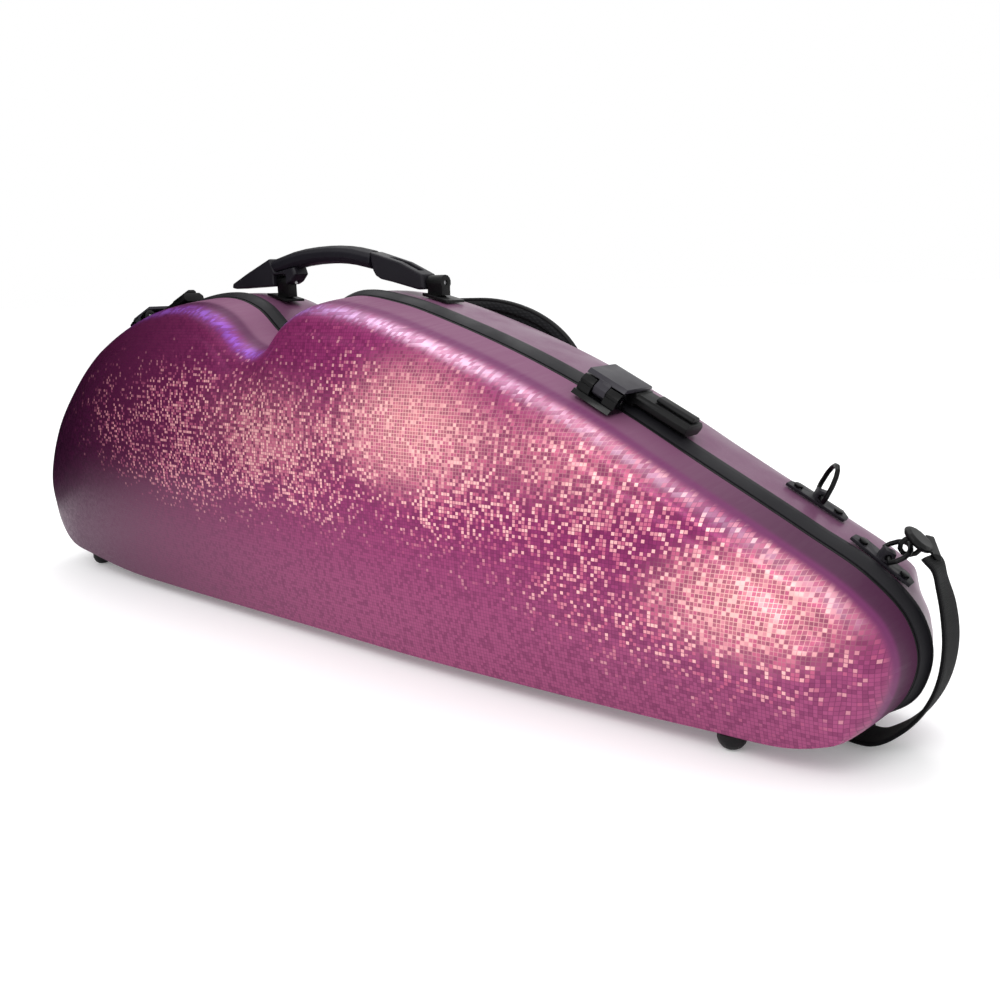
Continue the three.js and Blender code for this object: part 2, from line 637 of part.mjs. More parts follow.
// One ring plate with its screws, and the ring that swings in the plate's knuckle.
function addRing(where, ring) {
  const { x, y, half, height } = ring;
  const upright = { ...ring, lean: 0 };
  const seat = seatOnTop(x);
  const outline = [[-18, -4.5], [18, -4.5], [18, 1.5], [13, 6], [-13, 6], [-18, 1.5]]
    .map(([t, across]) => [t, across + y]);
  const plate = prism(outline, "z", 3.4, 5);
  const holes = [-12.5, 12.5].map((t) => rod("z", [t, y - 0.5], 1.5, 2, 7, 8));
  const knuckle = onPlate(prism([[-3.2, -3], [3.2, -3], [3.2, 1.2], [2, 2.8], [-2, 2.8], [-3.2, 1.2]],
    "y", -3, 3), upright);
  const bore = onPlate(rod("x", [0, 0], RING_WIRE + 0.35, -9, 9, 8), upright);
  add(`ring_plate_${where}`, cut(join(plate, knuckle), bore, ...holes), FINISH.plastic, seat);
  [-12.5, 12.5].forEach((t, i) => {
    const head = rod("z", [t, y - 0.5], 2.6, 5.3, 6.5, 10);
    const shank = rod("z", [t, y - 0.5], 1.2, 3.6, 5.6, 8);
    add(`ring_screw_${where}_${i + 1}`, join(head, shank), FINISH.blackSteel, seat);
  });
  add(`d_ring_${where}`, onPlate(dRing(half, height), ring), FINISH.blackSteel, seat);
  return seat;
}

const ringSeats = Object.fromEntries(
  Object.entries(RING_STATIONS).map(([where, ring]) => [where, addRing(where, ring)]));

// Snap hook whose eye goes round the ring's bow, with a round cap and the bar that the web is
// sewn round, on the side of the cap that the ring leans to.
const HOOK = { eye: 3.6, wire: 1.4, disc: 8.4, discFrom: 3.2, discTo: 7, lift: 0.45 };

function addHook(where) {
  const ring = RING_STATIONS[where];
  const eyePoints = circle([0, 0], HOOK.eye + HOOK.wire, 10)
    .map(([y, z]) => new THREE.Vector3(0, y, z));
  const eye = wireLoop(eyePoints, HOOK.wire, 6);
  const levels = [[HOOK.discFrom, 0.86], [HOOK.discFrom + 1.2, 1], [HOOK.discTo - 1.2, 1], [HOOK.discTo, 0.8]];
  const disc = loft(levels.map(([z, scale]) =>
    circle([0, 0], HOOK.disc * scale, 14).map(([a, b]) => new THREE.Vector3(a, b, z))));
  const bar = prism([[-6, 5], [-9.6, 4.4], [-12, 6], [-9.6, 8], [-6, 6.6]], "x", -9, 9)
    .scale(1, ring.side, 1);
  const hook = join(eye, disc, faceOutward(bar)).rotateX(-ring.side * HOOK.lift);
  add(`strap_hook_${where}`, onPlate(hook, ring, ring.height), FINISH.plastic, ringSeats[where]);
}

addHook("nose");
addHook("bout");

// ---------------------------------------------------------------- shoulder strap

// Flat webbing: each station is [centre, direction across the web].
function ribbon(route, width, thickness, steps) {
  const centres = new THREE.CatmullRomCurve3(route.map(([c]) => new THREE.Vector3(...c)),
    false, "centripetal");
  const acrosses = new THREE.CatmullRomCurve3(route.map(([, a]) => new THREE.Vector3(...a).normalize()),
    false, "catmullrom");
  const rings = Array.from({ length: steps + 1 }, (_, i) => {
    const t = i / steps;
    const along = centres.getTangent(t);
    const across = acrosses.getPoint(t);
    across.addScaledVector(along, -across.dot(along)).normalize();
    const normal = along.clone().cross(across);
    return [[-1, -1], [1, -1], [1, 1], [-1, 1]].map(([a, b]) => centres.getPoint(t)
      .addScaledVector(across, (a * width) / 2)
      .addScaledVector(normal, (b * thickness) / 2));
  });
  return loft(rings);
}

const NOSE_ROUTE = [
  [[383.6, 18.6, 99], [-0.12, 1, 0]], [[386, 18.2, 92], [-0.12, 1, 0]], [[390, 17, 80], [-0.04, 1, 0]],
  [[392.6, 16, 63], [0, 1, 0]], [[391, 16, 45], [0, 1, 0]], [[385.4, 16.5, 29.4], [0, 1, 0]],
  [[375.4, 17, 15], [0, 1, 0]], [[362, 17.5, 4.6], [0, 1, 0]], [[348, 22, 2], [0.3, 0.95, 0]],
  [[339, 37, 1.8], [0.85, 0.5, 0]], [[335, 58, 2.2], [1, 0.1, 0]], [[331, 76, 5], [1, 0, 0.1]],
  [[320, 91, 20], [0.9, 0, 0.4]], [[286, 98, 52], [0.72, 0, 0.7]], [[245, 100, 88], [0.68, 0, 0.73]],
  [[200, 100, 128], [0.64, 0, 0.76]], [[160, 99.8, 156], [0.5, 0, 0.86]], [[120, 99.8, 174], [0.34, 0, 0.94]],
  [[82, 99.8, 186], [0.3, 0, 0.95]],
];
const BOUT_ROUTE = [
  [[-373.5, 19, 168], [0, 1, 0.1]], [[-376.5, 26, 174], [0.3, 0.8, 0.4]], [[-372, 42, 180], [0.75, 0.3, 0.6]],
  [[-362, 66, 190], [0.6, 0.1, 0.8]], [[-334, 87, 198], [0.1, 0.1, 1]], [[-290, 97, 201], [0, 0, 1]],
  [[-240, 99.8, 201], [0, 0, 1]], [[-190, 99.8, 200], [0, 0, 1]], [[-150, 99.8, 199], [0, 0, 1]],
];
add("strap_webbing_nose", ribbon(NOSE_ROUTE, WEBBING.width, WEBBING.thickness, 36), FINISH.fabric);
add("strap_webbing_bout", ribbon(BOUT_ROUTE, WEBBING.width, WEBBING.thickness, 16), FINISH.fabric);

// Shoulder pad: a long flat cushion leaning on the back of the base, its upper corners drawn
// down in quarter ellipses to the straight lower edge.
function shoulderPad() {
  const { left, right, low, high, end } = PAD;
  const quarter = Array.from({ length: 7 }, (_, i) => (i * Math.PI) / 12);
  const arc = quarter.map((a) => [end * Math.cos(a), (high - low) * Math.sin(a)]);
  const outline = [
    ...arc.map(([dx, dz]) => [right - end + dx, low + dz]),
    ...arc.reverse().map(([dx, dz]) => [left + end - dx, low + dz]),
  ];
  const middle = [(left + right) / 2, (low + high) / 2];
  const ring = (shrink, y) => outline.map(([x, z]) => new THREE.Vector3(
    x - shrink * Math.sign(x - middle[0]), y, z - shrink * Math.sign(z - middle[1])));
  return loft([ring(3, PAD.y - PAD.half), ring(0, PAD.y - PAD.half / 2), ring(0, PAD.y + PAD.half / 2),
    ring(3, PAD.y + PAD.half)]);
}
add("strap_pad", shoulderPad(), FINISH.fabric);

// ---------------------------------------------------------------- centre on the footprint

group.updateMatrixWorld(true);
const extent = new THREE.Box3().setFromObject(group);
const centre = extent.getCenter(new THREE.Vector3());
group.position.set(-centre.x, -centre.y, -extent.min.z);

export default group;
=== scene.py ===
import logging
import math
from dataclasses import dataclass, field
from enum import Enum

import bmesh
import bpy
import numpy as np
from mathutils import Matrix, Vector


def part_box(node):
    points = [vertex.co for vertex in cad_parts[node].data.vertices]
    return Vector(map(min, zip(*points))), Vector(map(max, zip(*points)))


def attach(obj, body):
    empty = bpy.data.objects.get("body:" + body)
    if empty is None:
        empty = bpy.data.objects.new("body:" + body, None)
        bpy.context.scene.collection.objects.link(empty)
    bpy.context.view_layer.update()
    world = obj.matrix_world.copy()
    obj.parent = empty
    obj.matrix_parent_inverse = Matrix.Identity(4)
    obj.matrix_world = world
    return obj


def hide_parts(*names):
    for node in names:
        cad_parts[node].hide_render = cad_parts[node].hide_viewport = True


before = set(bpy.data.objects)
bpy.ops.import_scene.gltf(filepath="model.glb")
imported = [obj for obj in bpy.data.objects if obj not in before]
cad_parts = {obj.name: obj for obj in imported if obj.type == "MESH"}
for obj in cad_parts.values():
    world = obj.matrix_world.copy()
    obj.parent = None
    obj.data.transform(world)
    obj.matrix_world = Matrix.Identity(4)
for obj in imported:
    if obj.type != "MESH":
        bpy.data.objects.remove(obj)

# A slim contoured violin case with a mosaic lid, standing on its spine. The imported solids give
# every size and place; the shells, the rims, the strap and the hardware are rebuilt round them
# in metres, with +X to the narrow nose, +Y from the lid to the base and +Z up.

LOG = logging.getLogger("violin_case")
MM = 0.001
Socket = bpy.types.NodeSocket
Colour = tuple[float, float, float, float]
Point = tuple[float, float, float]
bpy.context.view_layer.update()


def case_origin() -> Vector:
    """Find the point that the outline's numbers are counted from, on the seam and the floor."""
    low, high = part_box("hinge_pin_nose")
    centre = (low + high) / 2
    return Vector((centre.x - 170 * MM, centre.y, 0.0))


ORIGIN = case_origin()


def at(x: float, y: float, z: float) -> Vector:
    """Turn millimetres on the case into a point of the frame."""
    return ORIGIN + Vector((x, y, z)) * MM


# ---------------------------------------------------------------- finishes


class Sketch:
    """One material and short ways to add and join its shader nodes."""

    def __init__(self, name: str) -> None:
        """Start a material with a Principled shader.

        Args:
            name: what the finish is called.
        """
        self.material = bpy.data.materials.new(name)
        self.material.use_nodes = True
        self.tree = self.material.node_tree
        self.shader = self.tree.nodes["Principled BSDF"]

    def node(self, kind: str, inputs: dict | None = None, **settings: object) -> bpy.types.Node:
        """Add a node, set its properties and fill or link its sockets.

        Args:
            kind: the node's type name.
            inputs: socket name or number to a value or to another node's output.
            settings: properties of the node.

        Returns:
            The new node.
        """
        made = self.tree.nodes.new(kind)
        for key, value in settings.items():
            setattr(made, key, value)
        for key, value in (inputs or {}).items():
            if isinstance(value, bpy.types.NodeSocket):
                self.tree.links.new(value, made.inputs[key])
            else:
                made.inputs[key].default_value = value
        return made

    def maths(self, operation: str, a: object, b: object = 0.0, c: object = 0.0) -> Socket:
        """Add a Math node and return its output."""
        inputs = {0: a, 1: b, 2: c}
        return self.node("ShaderNodeMath", inputs, operation=operation).outputs[0]

    def product(self, *values: object) -> Socket:
        """Multiply any number of values and return the result."""
        total = values[0]
        for value in values[1:]:
            total = self.maths("MULTIPLY", total, value)
        return total

    def vector(self, operation: str, a: object, b: object = (0.0, 0.0, 0.0)) -> Socket:
        """Add a Vector Math node and return its vector output."""
        made = self.node("ShaderNodeVectorMath", {0: a, 1: b}, operation=operation)
        return made.outputs["Vector"]

    def blend(self, share: object, a: object, b: object) -> Socket:
        """Mix two colours by a share and return the result."""
        inputs = {0: share, 6: a, 7: b}
        return self.node("ShaderNodeMix", inputs, data_type="RGBA").outputs[2]

    def ramp(self, value: object, low: float, high: float, to_low: float = 0.0,
             to_high: float = 1.0) -> Socket:
        """Carry a value smoothly from one span to another.

        Args:
            value: what is carried.
            low: where the span begins.
            high: where the span ends.
            to_low: what the beginning becomes.
            to_high: what the end becomes.

        Returns:
            The carried value.
        """
        inputs = {"Value": value, "From Min": low, "From Max": high,
                  "To Min": to_low, "To Max": to_high}
        made = self.node("ShaderNodeMapRange", inputs, interpolation_type="SMOOTHSTEP")
        return made.outputs["Result"]

    def noise(self, scale: float, detail: float = 2.0) -> Socket:
        """Add a noise over the piece's own coordinates and return its value."""
        inputs = {"Vector": self.place(), "Scale": scale, "Detail": detail}
        return self.node("ShaderNodeTexNoise", inputs).outputs[0]

    def place(self) -> Socket:
        """Return the coordinates of the piece itself."""
        return self.node("ShaderNodeTexCoord").outputs["Object"]

    def feed(self, **inputs: object) -> None:
        """Set or link sockets of the shader; an underscore in a name stands for a space."""
        for key, value in inputs.items():
            socket = self.shader.inputs[key.replace("_", " ")]
            if isinstance(value, bpy.types.NodeSocket):
                self.tree.links.new(value, socket)
            else:
                socket.default_value = value

    def relief(self, height: object, strength: float, distance: float) -> None:
        """Turn a height into the shader's bump."""
        inputs = {"Height": height, "Strength": strength, "Distance": distance}
        self.feed(Normal=self.node("ShaderNodeBump", inputs).outputs["Normal"])


def shade(red: int, green: int, blue: int) -> Colour:
    """Turn an 8-bit screen colour into the linear colour that shaders take.

    Args:
        red: the red channel, from 0 to 255.
        green: the green channel.
        blue: the blue channel.

    Returns:
        The linear colour and full opacity.
    """
    def linear(channel: int) -> float:
        """Undo the screen's transfer curve."""
        value = channel / 255
        return value / 12.92 if value <= 0.04045 else ((value + 0.055) / 1.055) ** 2.4
    return (linear(red), linear(green), linear(blue), 1.0)


def lightened(colour: Colour, gain: float, lift: float) -> Colour:
    """Raise a linear colour by a gain and a lift."""
    red, green, blue = (min(1.0, channel * gain + lift) for channel in colour[:3])
    return (red, green, blue, 1.0)


@dataclass(frozen=True)
class Moulded:
    """Moulded plastic, rubber or paint: one colour, a fine grain and slight scuffs."""

    name: str
    colour: Colour
    roughness: float = 0.42
    grain: float = 2600.0
    bump: float = 0.12
    metallic: float = 0.0
    coat: float = 0.0

    def material(self) -> bpy.types.Material:
        """Build the finish, once for each name."""
        if self.name in bpy.data.materials:
            return bpy.data.materials[self.name]
        sketch = Sketch(self.name)
        grain = sketch.noise(self.grain, 3.0)
        wear = sketch.noise(45.0, 6.0)
        speck = sketch.ramp(grain, 0.55, 0.75, 0.0, 0.55)
        tone = sketch.blend(speck, self.colour, lightened(self.colour, 1.5, 0.004))
        rough = sketch.ramp(wear, 0.3, 0.75, self.roughness - 0.06, self.roughness + 0.12)
        sketch.feed(Base_Color=tone, Roughness=rough, Metallic=self.metallic, Coat_Weight=self.coat,
                    Coat_Roughness=0.12, Specular_IOR_Level=0.2)
        sketch.relief(grain, self.bump, 0.0002)
        return sketch.material


@dataclass(frozen=True)
class Cloth:
    """Plush or woven cloth: a dense pile or a twill over the piece's own coordinates."""

    name: str
    colour: Colour
    weave: float = 900.0
    pile: bool = False

    def material(self) -> bpy.types.Material:
        """Build the finish, once for each name."""
        if self.name in bpy.data.materials:
            return bpy.data.materials[self.name]
        sketch = Sketch(self.name)
        noise = sketch.noise(self.weave * 2, 4.0)
        if self.pile:
            height = noise
        else:
            inputs = {"Vector": sketch.place(), "Scale": self.weave * 0.16}
            twill = [sketch.node("ShaderNodeTexWave", inputs, bands_direction=way).outputs["Fac"]
                     for way in ("DIAGONAL", "Z")]
            height = sketch.maths("MULTIPLY_ADD", noise, 0.4, sketch.product(*twill))
        tone = sketch.blend(sketch.ramp(height, 0.25, 0.9, 0.0, 0.8), self.colour,
                            lightened(self.colour, 1.9, 0.006))
        sketch.feed(Base_Color=tone, Roughness=0.88, Sheen_Weight=0.3 if self.pile else 0.04,
                    Sheen_Roughness=0.5, Specular_IOR_Level=0.15)
        sketch.relief(height, 0.5 if self.pile else 0.35, 0.0004)
        return sketch.material


@dataclass(frozen=True)
class Webbing:
    """Narrow nylon webbing: ribs across the length and a darker channel down the middle."""

    name: str = "strap webbing"
    ribs: float = 900.0
    yarns: float = 17.0

    def material(self) -> bpy.types.Material:
        """Build the finish, once."""
        if self.name in bpy.data.materials:
            return bpy.data.materials[self.name]
        sketch = Sketch(self.name)
        along = sketch.node("ShaderNodeUVMap", uv_map="web").outputs["UV"]
        parts = sketch.node("ShaderNodeSeparateXYZ", {0: along})
        rib = sketch.maths("SINE", sketch.product(parts.outputs[0], self.ribs * 2 * math.pi))
        yarn = sketch.maths("SINE", sketch.product(parts.outputs[1], self.yarns * 2 * math.pi))
        height = sketch.maths("MULTIPLY_ADD", rib, 0.5, sketch.maths("MULTIPLY", yarn, 0.5))
        height = sketch.maths("MULTIPLY_ADD", sketch.noise(1500.0), 0.7, height)
        off_middle = sketch.maths("ABSOLUTE", sketch.maths("SUBTRACT", parts.outputs[1], 0.5))
        channel = sketch.ramp(off_middle, 0.1, 0.16, 0.6, 1.0)
        tone = sketch.blend(sketch.ramp(height, -0.6, 1.4), shade(2, 2, 3), shade(12, 12, 14))
        tone = sketch.blend(channel, shade(2, 2, 3), tone)
        sketch.feed(Base_Color=tone, Roughness=0.8, Sheen_Weight=0.02, Sheen_Roughness=0.4,
                    Specular_IOR_Level=0.1)
        sketch.relief(height, 0.35, 0.0003)
        return sketch.material


@dataclass(frozen=True)
class Spot:
    """An oval of painted highlight on the mosaic, in millimetres on the case."""

    x: float
    z: float
    wide: float
    high: float
    strength: float


class Tiling:
    """The mosaic's grid inside one material: where each tile lies and what it drew by chance."""

    def __init__(self, sketch: Sketch, tile: float, joint: float) -> None:
        """Lay the grid over the piece's own coordinates.

        Args:
            sketch: the material that is being built.
            tile: the pitch of the tiles, in millimetres.
            joint: where a tile ends, from its middle, as a share of the pitch.
        """
        self.sketch = sketch
        self.place = sketch.place()
        parts = sketch.node("ShaderNodeSeparateXYZ", {0: self.place})
        self.x, self.z = parts.outputs[0], parts.outputs[2]
        size = 1 / (tile * MM)
        grid = sketch.vector("MULTIPLY", self.place, (size, 0.0, size))
        noise = sketch.node("ShaderNodeTexWhiteNoise", {"Vector": sketch.vector("FLOOR", grid)})
        self.chance = noise.outputs["Value"]
        self.other = sketch.node("ShaderNodeSeparateColor", {0: noise.outputs["Color"]}).outputs[1]
        inside = sketch.node("ShaderNodeSeparateXYZ", {0: sketch.vector("FRACTION", grid)})
        edges = [sketch.maths("ABSOLUTE", sketch.maths("SUBTRACT", inside.outputs[k], 0.5))
                 for k in (0, 2)]
        self.line = sketch.ramp(sketch.maths("MAXIMUM", *edges), joint - 0.05, joint + 0.02)
        self.inner = sketch.maths("SUBTRACT", 1.0, self.line)
        self.face = sketch.node("ShaderNodeAttribute", attribute_name="face").outputs["Fac"]
        # The marked band on the upper shoulder, where a highlight is painted.
        self.painted_crest_highlight = sketch.node("ShaderNodeAttribute", attribute_name="painted_crest_highlight").outputs["Fac"]
        # How far along towards the nose; the painted shade at the wide bout follows it.
        self.along = self.lengthwise(-380, 110)

    def lengthwise(self, start: float, end: float, to_low: float = 0.0,
                   to_high: float = 1.0) -> Socket:
        """Carry the place along the case, in millimetres, to another span."""
        return self.sketch.ramp(self.x, at(start, 0, 0).x, at(end, 0, 0).x, to_low, to_high)

    def pool(self, spots: tuple[Spot, ...]) -> Socket:
        """Add up soft-edged ovals of painted highlight.

        Args:
            spots: the ovals.

        Returns:
            Their summed strength.
        """
        sketch = self.sketch
        total: object = 0.0
        for spot in spots:
            away = sketch.vector("SUBTRACT", self.place, tuple(at(spot.x, 0, spot.z)))
            shares = (1 / (spot.wide * MM), 0.0, 1 / (spot.high * MM))
            scaled = sketch.vector("MULTIPLY", away, shares)
            length = sketch.node("ShaderNodeVectorMath", {0: scaled}, operation="LENGTH")
            total = sketch.maths("ADD", total,
                                 sketch.ramp(length.outputs["Value"], 0.0, 1.0, spot.strength, 0.0))
        return sketch.maths("MINIMUM", total, 1.0)


@dataclass(frozen=True)
class Mosaic:
    """Small square metallic tiles under clear gloss, with plain paint on the walls round them; the
    tiles' glints, the pale highlights and the shade towards the ends are painted into the colour.
    """

    name: str = "mosaic under gloss"
    tile: float = 2.1
    joint: float = 0.44
    # Ovals of painted highlight, where the lamps' reflections fall on the face.
    painted_highlights: tuple[Spot, ...] = (
        Spot(100, 158, 74, 56, 1.0),
        Spot(316, 84, 70, 38, 1.0),
        Spot(200, 150, 150, 44, 0.34),
        Spot(-20, 150, 120, 50, 0.22),
    )
    # Ovals where the painted glints on the tiles crowd, round the painted highlights.
    painted_glint_zones: tuple[Spot, ...] = (
        Spot(60, 150, 230, 84, 0.8),
        Spot(300, 84, 150, 78, 0.86),
        Spot(-150, 140, 190, 78, 0.74),
        Spot(200, 120, 140, 84, 0.7),
        Spot(-60, 118, 200, 60, 0.4),
    )

    def ground(self, tiles: Tiling, core: Socket) -> Socket:
        """Paint the ground with painted light: painted shade deep at the wide bout and the upper
        face, a paler lower face as a painted reflection of the floor, and rosy painted highlights.

        Args:
            tiles: the grid.
            core: how strongly each place lies in a painted highlight.

        Returns:
            The ground's colour.
        """
        sketch = tiles.sketch
        # Painted shade towards the wide bout and the top; the paler lower tones are a painted floor
        # reflection.
        upper = sketch.blend(tiles.along, shade(26, 2, 24), shade(140, 46, 100))
        lower = sketch.blend(tiles.along, shade(66, 24, 54), shade(150, 72, 112))
        tone = sketch.blend(sketch.ramp(tiles.z, 30 * MM, 118 * MM), lower, upper)
        # Rosy painted highlight where the lamps reflect.
        tone = sketch.blend(core, tone, shade(210, 128, 140))
        mottle = sketch.ramp(tiles.chance, 0.0, 0.6, 0.42, 0.0)
        return sketch.blend(sketch.product(mottle, tiles.face), tone, shade(78, 20, 60))

    def paint_glinting_tiles(self, tiles: Tiling, ground: Socket, core: Socket, near: Socket) -> Socket:
        """Paint glints on the tiles that chance picks, crowded in the painted highlights and dimmer
        towards the wide bout as painted shade, and rule the joints between them, pale as painted
        highlight inside the highlights and dark elsewhere.

        Args:
            tiles: the grid.
            ground: the ground's colour.
            core: how strongly each place lies in a painted highlight.
            near: how many of the tiles at each place carry painted glints.

        Returns:
            The colour of the face.
        """
        sketch = tiles.sketch
        # Painted glints: chance lights up more tiles, and brighter, where near is high.
        edge = sketch.maths("SUBTRACT", 1.0, sketch.product(near, 0.8))
        over = sketch.maths("SUBTRACT", tiles.chance, edge)
        strength = sketch.ramp(near, 0.0, 0.6, 0.25, 1.0)
        bright = sketch.product(sketch.ramp(over, 0.0, 0.04), strength, tiles.face, tiles.inner)
        dim = sketch.blend(tiles.along, shade(142, 66, 98), shade(186, 92, 124))
        vivid = sketch.blend(tiles.along, shade(206, 130, 142), shade(248, 190, 186))
        tile = sketch.blend(sketch.ramp(tiles.other, 0.25, 1.0), dim, vivid)
        tone = sketch.blend(sketch.product(bright, 0.92), ground, tile)
        # Joints inside the painted highlights get a pale painted highlight; elsewhere they are
        # dark.
        painted_joint_highlight = sketch.product(tiles.line, tiles.face, core, 0.85)
        tone = sketch.blend(painted_joint_highlight, tone, shade(246, 196, 188))
        dark = sketch.product(tiles.line, tiles.face, sketch.maths("SUBTRACT", 0.4, core))
        return sketch.blend(sketch.maths("MAXIMUM", dark, 0.0), tone, shade(66, 20, 56))

    def highlight(self, tiles: Tiling, tone: Socket) -> Socket:
        """Lay a painted highlight along the upper shoulder, violet at the notch and pale beyond it,
        sparkling tile by tile.

        Args:
            tiles: the grid.
            tone: the colour of the face.

        Returns:
            The colour with the line on it.
        """
        sketch = tiles.sketch
        fade = tiles.lengthwise(60, 330, 0.75, 0.3)
        start = tiles.lengthwise(-260, -130)
        spark = sketch.ramp(tiles.other, 0.15, 0.9, 0.35, 1.0)
        # The painted highlight follows the marked shoulder band and fades towards the nose and the
        # wide bout.
        lit = sketch.product(tiles.painted_crest_highlight, spark, sketch.product(fade, start))
        tint = sketch.blend(tiles.lengthwise(-60, 110), shade(150, 92, 206), shade(248, 208, 236))
        return sketch.blend(lit, tone, tint)

    def wall(self, tiles: Tiling) -> Socket:
        """Paint the plain wall between the face and the rim, with painted shade: a dark band under
        the shoulder and darker ends at the wide bout and the nose.
        """
        sketch = tiles.sketch
        # Painted shade: the dark band under the shoulder, and the wall darker at both ends.
        shoulder = sketch.blend(tiles.along, shade(26, 4, 26), shade(104, 44, 88))
        tone = sketch.blend(tiles.lengthwise(-340, -190), shade(20, 2, 18), shade(120, 76, 104))
        tone = sketch.blend(tiles.lengthwise(180, 370), tone, shade(70, 34, 60))
        return sketch.blend(sketch.ramp(tiles.face, 0.0, 0.22), tone, shoulder)

    def material(self) -> bpy.types.Material:
        """Build the finish, once."""
        if self.name in bpy.data.materials:
            return bpy.data.materials[self.name]
        sketch = Sketch(self.name)
        tiles = Tiling(sketch, self.tile, self.joint)
        # Where the painted highlights lie, and how thickly painted glints crowd, with a random
        # drift.
        core = tiles.pool(self.painted_highlights)
        drift = sketch.ramp(sketch.noise(14.0), 0.3, 0.62, 0.45, 1.1)
        near = sketch.product(tiles.pool(self.painted_glint_zones), drift)
        tone = self.paint_glinting_tiles(tiles, self.ground(tiles, core), core, near)
        tone = self.highlight(tiles, tone)
        finish = sketch.blend(sketch.ramp(tiles.face, 0.3, 1.0), self.wall(tiles), tone)
        rough = sketch.maths("MULTIPLY_ADD", tiles.chance, 0.12, 0.3)
        rough = sketch.maths("MULTIPLY_ADD", sketch.maths("SUBTRACT", 1.0, tiles.face), 0.2, rough)
        sketch.feed(Base_Color=finish, Roughness=rough, Metallic=sketch.product(tiles.face, 0.3),
                    Specular_IOR_Level=0.12, Coat_Weight=0.06, Coat_Roughness=0.2,
                    Coat_Tint=(0.95, 0.88, 1.0, 1.0))
        sketch.relief(sketch.product(tiles.inner, tiles.face), 0.12, 0.0002)
        return sketch.material


class Finish(Enum):
    """The finishes on the case, by what they are on."""

    MOSAIC = Mosaic()
    SHELL = Moulded("mauve shell", shade(108, 68, 96), 0.38, 900.0, 0.03, 0.2, 0.1)
    HARDWARE = Moulded("black hardware", shade(4, 4, 5), 0.4, 2600.0, 0.12)
    GLOSS = Moulded("glossy black latch", shade(3, 3, 4), 0.24, 1500.0, 0.02)
    SATIN = Moulded("satin charcoal latch plate", shade(44, 42, 48), 0.36, 2200.0, 0.05)
    HANDLE = Moulded("speckled charcoal handle", shade(25, 23, 29), 0.42, 1900.0, 0.16)
    GRIP = Moulded("soft handle grip", shade(16, 14, 22), 0.5, 1700.0, 0.2)
    BAND = Moulded("slate rim band", shade(22, 21, 25), 0.5, 2400.0, 0.08)
    SEAL = Moulded("black rim seal", shade(8, 8, 9), 0.5, 2000.0, 0.1)
    RUBBER = Moulded("foot rubber", shade(14, 14, 16), 0.5, 1400.0, 0.12)
    STEEL = Moulded("bright pin steel", shade(150, 150, 152), 0.3, 3000.0, 0.05, 1.0)
    BLACKED = Moulded("blackened steel", shade(8, 8, 10), 0.34, 2800.0, 0.05, 0.3)
    PLUSH = Cloth("wine plush lining", shade(58, 30, 52), 700.0, True)
    PAD = Cloth("black pad cloth", shade(7, 7, 10), 900.0)
    WEB = Webbing()


def dress(piece: bpy.types.Object, finish: Finish) -> bpy.types.Object:
    """Give a piece one finish.

    Args:
        piece: a made piece or a carried-over solid.
        finish: what to put on it.

    Returns:
        The same piece.
    """
    slots = piece.data.materials
    if slots:
        for i in range(len(slots)):
            slots[i] = finish.value.material()
    else:
        slots.append(finish.value.material())
    return piece


# ---------------------------------------------------------------- mesh making


def mesh_piece(name: str, points: np.ndarray, faces: list[tuple[int, ...]], smooth: float = 40.0
               ) -> bpy.types.Object:
    """Make an object from points and faces, with its faces turned outward.

    Args:
        name: the piece's name.
        points: one row for each point, in metres.
        faces: the points of each face.
        smooth: the largest angle, in degrees, that is shaded smooth.

    Returns:
        The new object.
    """
    mesh = bpy.data.meshes.new(name)
    mesh.from_pydata([tuple(p) for p in points], [], faces)
    work = bmesh.new()
    work.from_mesh(mesh)
    bmesh.ops.recalc_face_normals(work, faces=work.faces)
    work.to_mesh(mesh)
    work.free()
    mesh.shade_smooth()
    mesh.set_sharp_from_angle(angle=math.radians(smooth))
    piece = bpy.data.objects.new(name, mesh)
    bpy.context.scene.collection.objects.link(piece)
    return piece


def loft_faces(rings: int, count: int, loop: bool = False) -> list[tuple[int, ...]]:
    """List the faces that join rings of equal length, and close the two ends.

    Args:
        rings: how many rings there are.
        count: how many points are in each.
        loop: True if the last ring joins the first.

    Returns:
        The faces.
    """
    faces: list[tuple[int, ...]] = []
    for r in range(rings if loop else rings - 1):
        here, there = r * count, (r + 1) % rings * count
        for i in range(count):
            j = (i + 1) % count
            faces.append((here + i, here + j, there + j, there + i))
    if not loop:
        faces.append(tuple(range(count)))
        faces.append(tuple(range((rings - 1) * count, rings * count)))
    return faces


